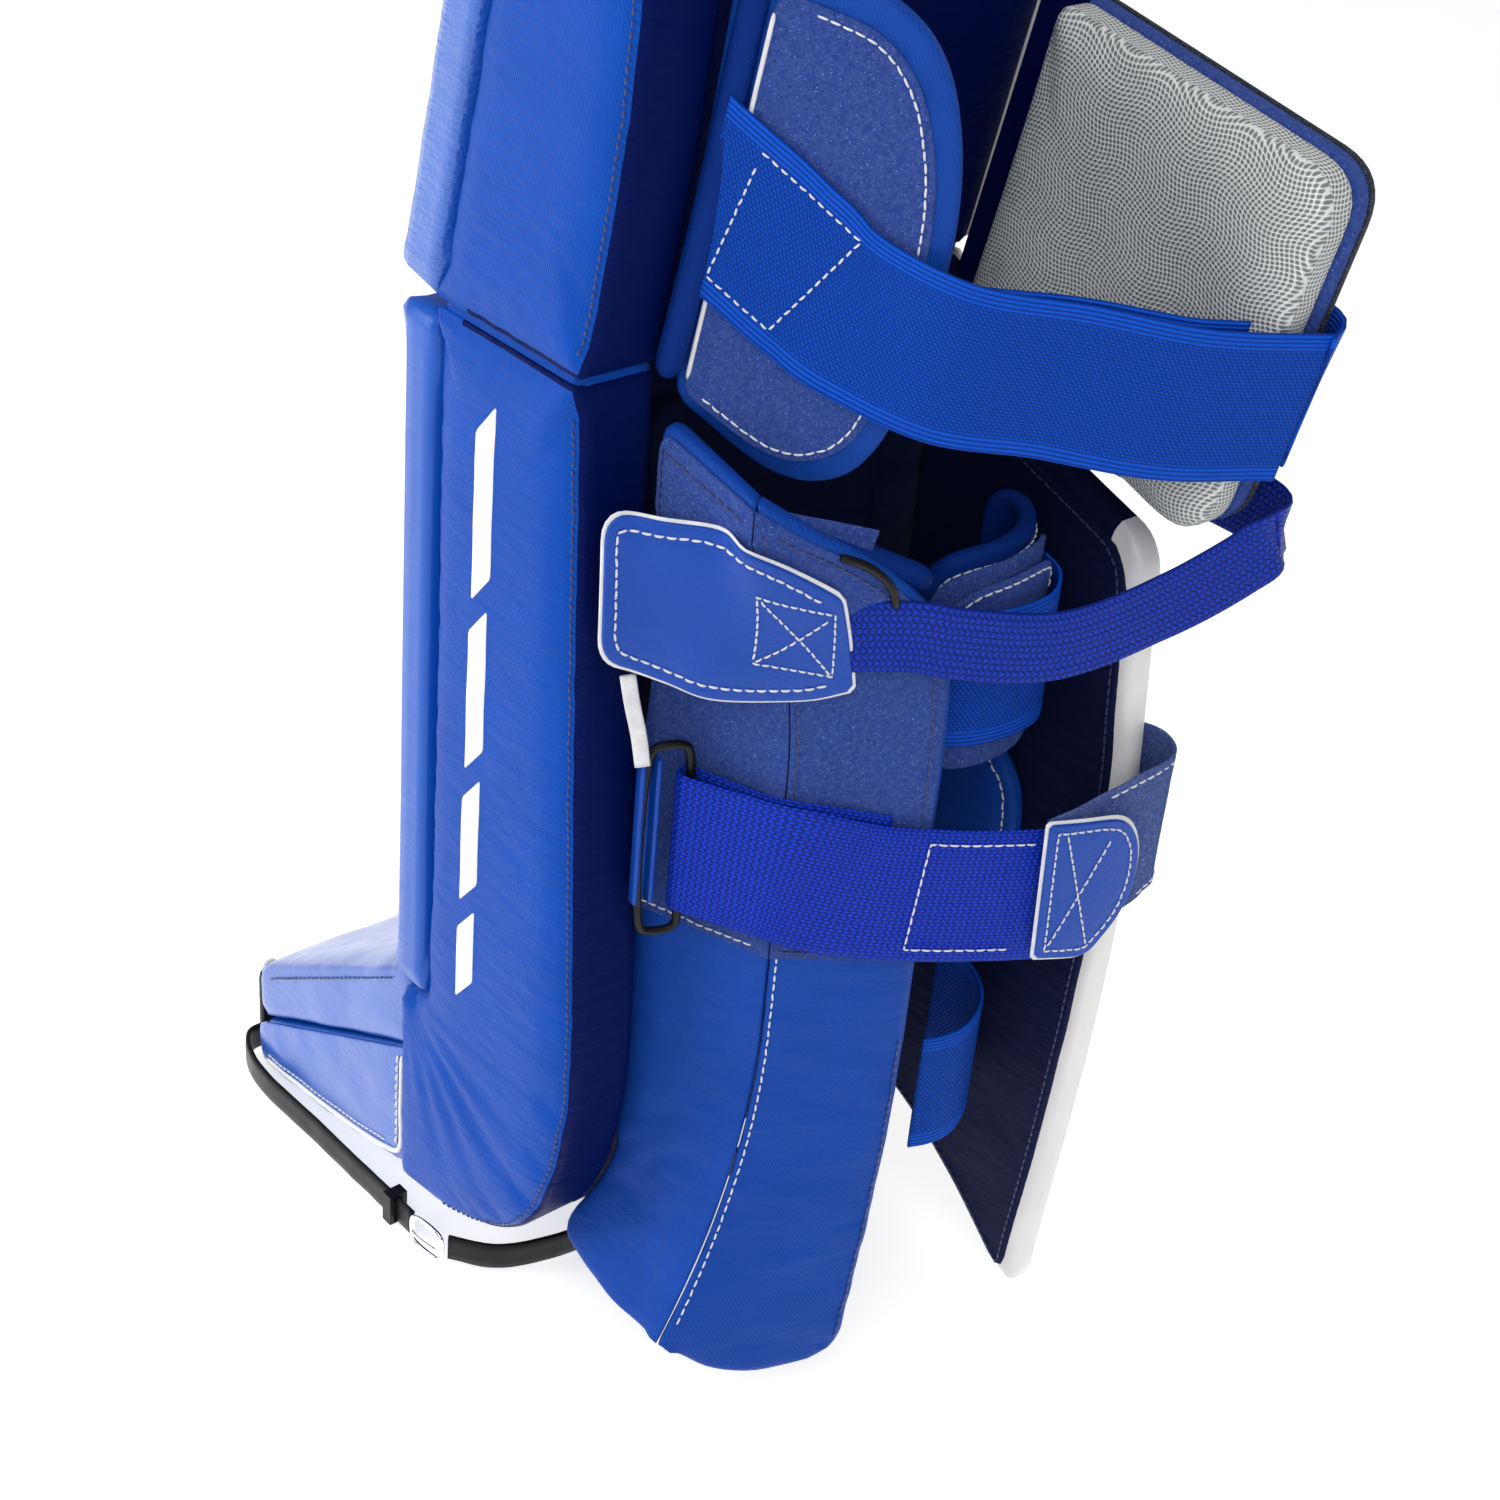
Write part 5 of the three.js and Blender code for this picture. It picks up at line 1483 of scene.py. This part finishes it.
RING_BAR = Vector((84, 101))
RING_AHEAD = Vector((math.cos(math.radians(-22)), math.sin(math.radians(-22))))
RING_WIDTH = 19.5  # from the bar that the webbing turns on to the one in the leather holder


def around_bar(bar, radius, angles, z):
    """Layout points around an upright bar of the ring."""
    return [(bar.x + radius * math.cos(math.radians(a)), bar.y + radius * math.sin(math.radians(a)), z)
            for a in angles]


def build_ring():
    """The plastic ring: a rounded rectangle of round bar."""
    low, high, corner, rounding = 302.5, 411.5, 3.5, 3
    corners = [(0, low + corner), (0, high - corner), (rounding, high), (RING_WIDTH - rounding, high),
               (RING_WIDTH, high - corner), (RING_WIDTH, low + corner), (RING_WIDTH - rounding, low),
               (rounding, low)]
    spots = [(*(RING_BAR + RING_AHEAD * s), z) for s, z in corners]
    ring = tube("ring_loop", [pt(*spot) / MM for spot in spots], 2.3, BLACK_PLASTIC, closed=True, sides=14)
    finish_piece(ring, "ring", "strap_ring")


def build_lower_webbing():
    """Wide webbing that runs to the ring, turns around its bar and comes back over itself."""
    turn = around_bar(RING_BAR, 5, (-150, -105, -60, -15, 30), 356)
    path = [on_wing(1.6, 344, 4.6), on_wing(1.1, 352, 5.2), on_wing(0.9, 353, 5.2), (77, 106, 356), *turn,
            on_wing(0.95, 353, 10.2), on_wing(1.1, 351, 10), on_wing(1.5, 342, 9), on_wing(2, 337, 7),
            (-40, 205, 334), (-72, 216, 330), (-100, 222, 327)]
    band = strap("lower_webbing", path, 80, 1.8, BASKET, step=2.0,
                 lift=lambda u, v: 0.35 * ripple(u / 30, v / 30, 8) * min(1, max(0, (u - 90) / 30)))
    finish_piece(band, "lower_strap", "lower_strap_webbing")
    build_lower_tab()
    total = path_length(smooth_path(path, 3.0))
    box = [(total - 52, -32), (total - 108, -32), (total - 108, 32), (total - 52, 32)]
    sew("lower_webbing_box", strap_run(path, box, 1.2), "lower_strap", length=5, seed=9)


def build_lower_tab():
    """The leather tab at the webbing's free end, with its pale core showing at the cut edge."""
    place, _ = path_place([(-50, 214.5), (-76, 222), (-108, 229), (-122, 231)])

    def outline(grow):
        return [(7 - grow, 298 - grow, 2), (38, 292 - grow, 8), (59 + grow, 318, 24), (62 + grow, 352, 20),
                (50 + grow, 375 + grow, 12), (3 - grow, 380 + grow, 2)]

    edge = Panel("lower_tab_edge", outline(1.6), place, 1.2, 2.4, CUT_EDGE, top=0.4, cell=4)
    finish_piece(edge.piece, "lower_strap")
    tab = Panel("lower_tab", outline(0), place, 2.4, 4.2, TAB_LEATHER, top=1.0, bottom=0.3, cell=3.5,
                relief=lambda s, t, d: -0.7 * math.exp(-((d - 5) / 1.5) ** 2))
    sew("lower_tab_outline", traced(tab, inset_run(tab.ring, 5)[::3]), "lower_strap", length=3.8, seed=1)
    sew("lower_tab_cross_1", laid(tab, [(13, 305), (42, 368)]), "lower_strap", length=3.8, seed=2)
    sew("lower_tab_cross_2", laid(tab, [(36, 301), (14, 372)]), "lower_strap", length=3.8, seed=3)
    finish_piece(tab.piece, "lower_strap", "lower_strap_tab")


def build_medial_strip():
    """The loop strip around the medial wing's rear edge, which the lower tab fastens to."""
    path = [(-74, 210, 334), (-94, 215.5, 340), (-118, 221, 350), (-138, 220, 354), (-149, 206, 354),
            (-148, 170, 348), (-146.5, 110, 338)]
    strip = strap("medial_loop_strip", path, 80, 2, PALE_LOOP,
                  lift=lambda u, v: 0.3 * ripple(u / 9, v / 9, 1))
    finish_piece(strip, "medial_wing", "lower_loop_strip")
    for name, v, seed in (("medial_loop_stitch", 36, 10), ("medial_loop_stitch_low", -36, 11)):
        sew(name, strap_run(path, [(40, v), (140, v)], 1.2), "medial_wing", seed=seed)


def build_ring_holder():
    """The leather fold that holds the ring to the shin, and the raw edge that shows above it."""
    raw = strap("ring_holder_edge", [(108, 95, 404), (111, 94, 422), (115, 92.5, 440), (118, 91.5, 456)],
                8, 2, CUT_EDGE, up=Vector((0.8, -0.5, 0.3)))
    finish_piece(raw, "shin")
    fold = around_bar(RING_BAR + RING_AHEAD * RING_WIDTH, 5.2, (20, -50, -140, -230), 363)
    holder = strap("ring_holder", fold, 84, 2.4, TAB_LEATHER, step=1.5)
    finish_piece(holder, "shin", "ring_anchor")


build_faces()
build_core()
build_thigh_core()
build_rolls()
build_knee_wing()
build_knee_block()
build_knee_strap()
build_boot()
build_toe_strap()
build_calf_wings()
build_wing_flap()
build_medial_wing()
build_calf_wrap()
build_upper_strap()
build_ring()
build_lower_webbing()
build_medial_strip()
build_ring_holder()


# ---------------------------------------------------------------- stage, light and camera
AMBIENT = 0.34  # how strongly the room lights the pad, where 1 is the white the camera sees


def build_floor():
    """A white floor under the pad that looks evenly lit to the camera. It glows faintly as painted fill
    light from below, and far brighter in reflections, a painted reflection that gives glossy surfaces a pale
    sheen.
    """
    look = Look("studio_floor", 0.7)
    look.set("Base Color", look.mix(look.noise(90, 3), (0.8, 0.8, 0.8), (0.84, 0.84, 0.84)))
    seen = look.tree.nodes.new("ShaderNodeLightPath").outputs["Is Camera Ray"]
    look.set("Emission Color", (1, 1, 1, 1))
    # Painted reflection: glossy rays see the floor glow 1.5 brighter, which lays a pale sheen on glossy
    # surfaces.
    painted_reflection = look.tree.nodes.new("ShaderNodeLightPath").outputs["Is Glossy Ray"]
    strength = look.math("MULTIPLY_ADD", painted_reflection, 1.5, look.math("MULTIPLY_ADD", seen, 0.44, 0.20))
    look.set("Emission Strength", strength)
    look.bump(look.noise(5, 2), 0.05)
    mesh = bpy.data.meshes.new("studio_floor")
    half, height = 9, pt(0, 0, -1).z
    corners = [(-half, -half, height), (half, -half, height), (half, half, height), (-half, half, height)]
    mesh.from_pydata(corners, [], [(0, 1, 2, 3)])
    mesh.materials.append(look.material)
    floor = bpy.data.objects.new("studio_floor", mesh)
    bpy.context.scene.collection.objects.link(floor)


def build_room():
    """An even white room: dim for the pad's light, full white where the camera looks past the pad."""
    world = bpy.data.worlds.new("studio")
    world.use_nodes = True
    nodes = world.node_tree.nodes
    seen = nodes.new("ShaderNodeLightPath").outputs["Is Camera Ray"]
    strength = nodes.new("ShaderNodeMapRange")
    strength.inputs["To Min"].default_value = AMBIENT
    strength.inputs["To Max"].default_value = 1.0
    world.node_tree.links.new(seen, strength.inputs["Value"])
    world.node_tree.links.new(strength.outputs[0], nodes["Background"].inputs["Strength"])
    nodes["Background"].inputs["Color"].default_value = (1, 1, 1, 1)
    bpy.context.scene.world = world


def area_light(name, place, target, size, power):
    """A square lamp, in metres of the frame, that faces its target."""
    lamp = bpy.data.lights.new(name, "AREA")
    lamp.size = size
    lamp.energy = power
    made = bpy.data.objects.new(name, lamp)
    made.location = place
    made.rotation_euler = (Vector(target) - Vector(place)).to_track_quat("-Z", "Y").to_euler()
    bpy.context.scene.collection.objects.link(made)


CAMERA_PLACE = (789.3, 899.9, 1077.1)


def build_camera():
    """The photo's camera: above the outer side of the pad, behind it, and rolled a little."""
    azimuth, elevation, roll = (math.radians(a) for a in (137, 32, 5.5))
    back = Vector((math.sin(azimuth) * math.cos(elevation), -math.cos(azimuth) * math.cos(elevation),
                   math.sin(elevation)))
    right = Vector((math.cos(azimuth), math.sin(azimuth), 0))
    over = back.cross(right)
    turned_right = right * math.cos(roll) + over * math.sin(roll)
    turned_over = over * math.cos(roll) - right * math.sin(roll)
    lens = bpy.data.cameras.new("camera")
    lens.lens = 62.4
    lens.sensor_width = 36
    camera = bpy.data.objects.new("camera", lens)
    camera.matrix_world = Matrix.Translation(pt(*CAMERA_PLACE)) @ Matrix(
        (turned_right, turned_over, back)).transposed().to_4x4()
    bpy.context.scene.collection.objects.link(camera)
    bpy.context.scene.camera = camera


build_floor()
build_room()
area_light("key", (1.9, -1.3, 0.9), (0, 0, 0), 1.5, 35)
area_light("fill", (1.3, 1.7, 1.5), (0, 0, 0), 1.8, 26)
area_light("top", (0.9, 0.5, 2.4), (0, 0, 0.2), 1.6, 14)
build_camera()
bpy.context.scene.view_settings.view_transform = "Standard"
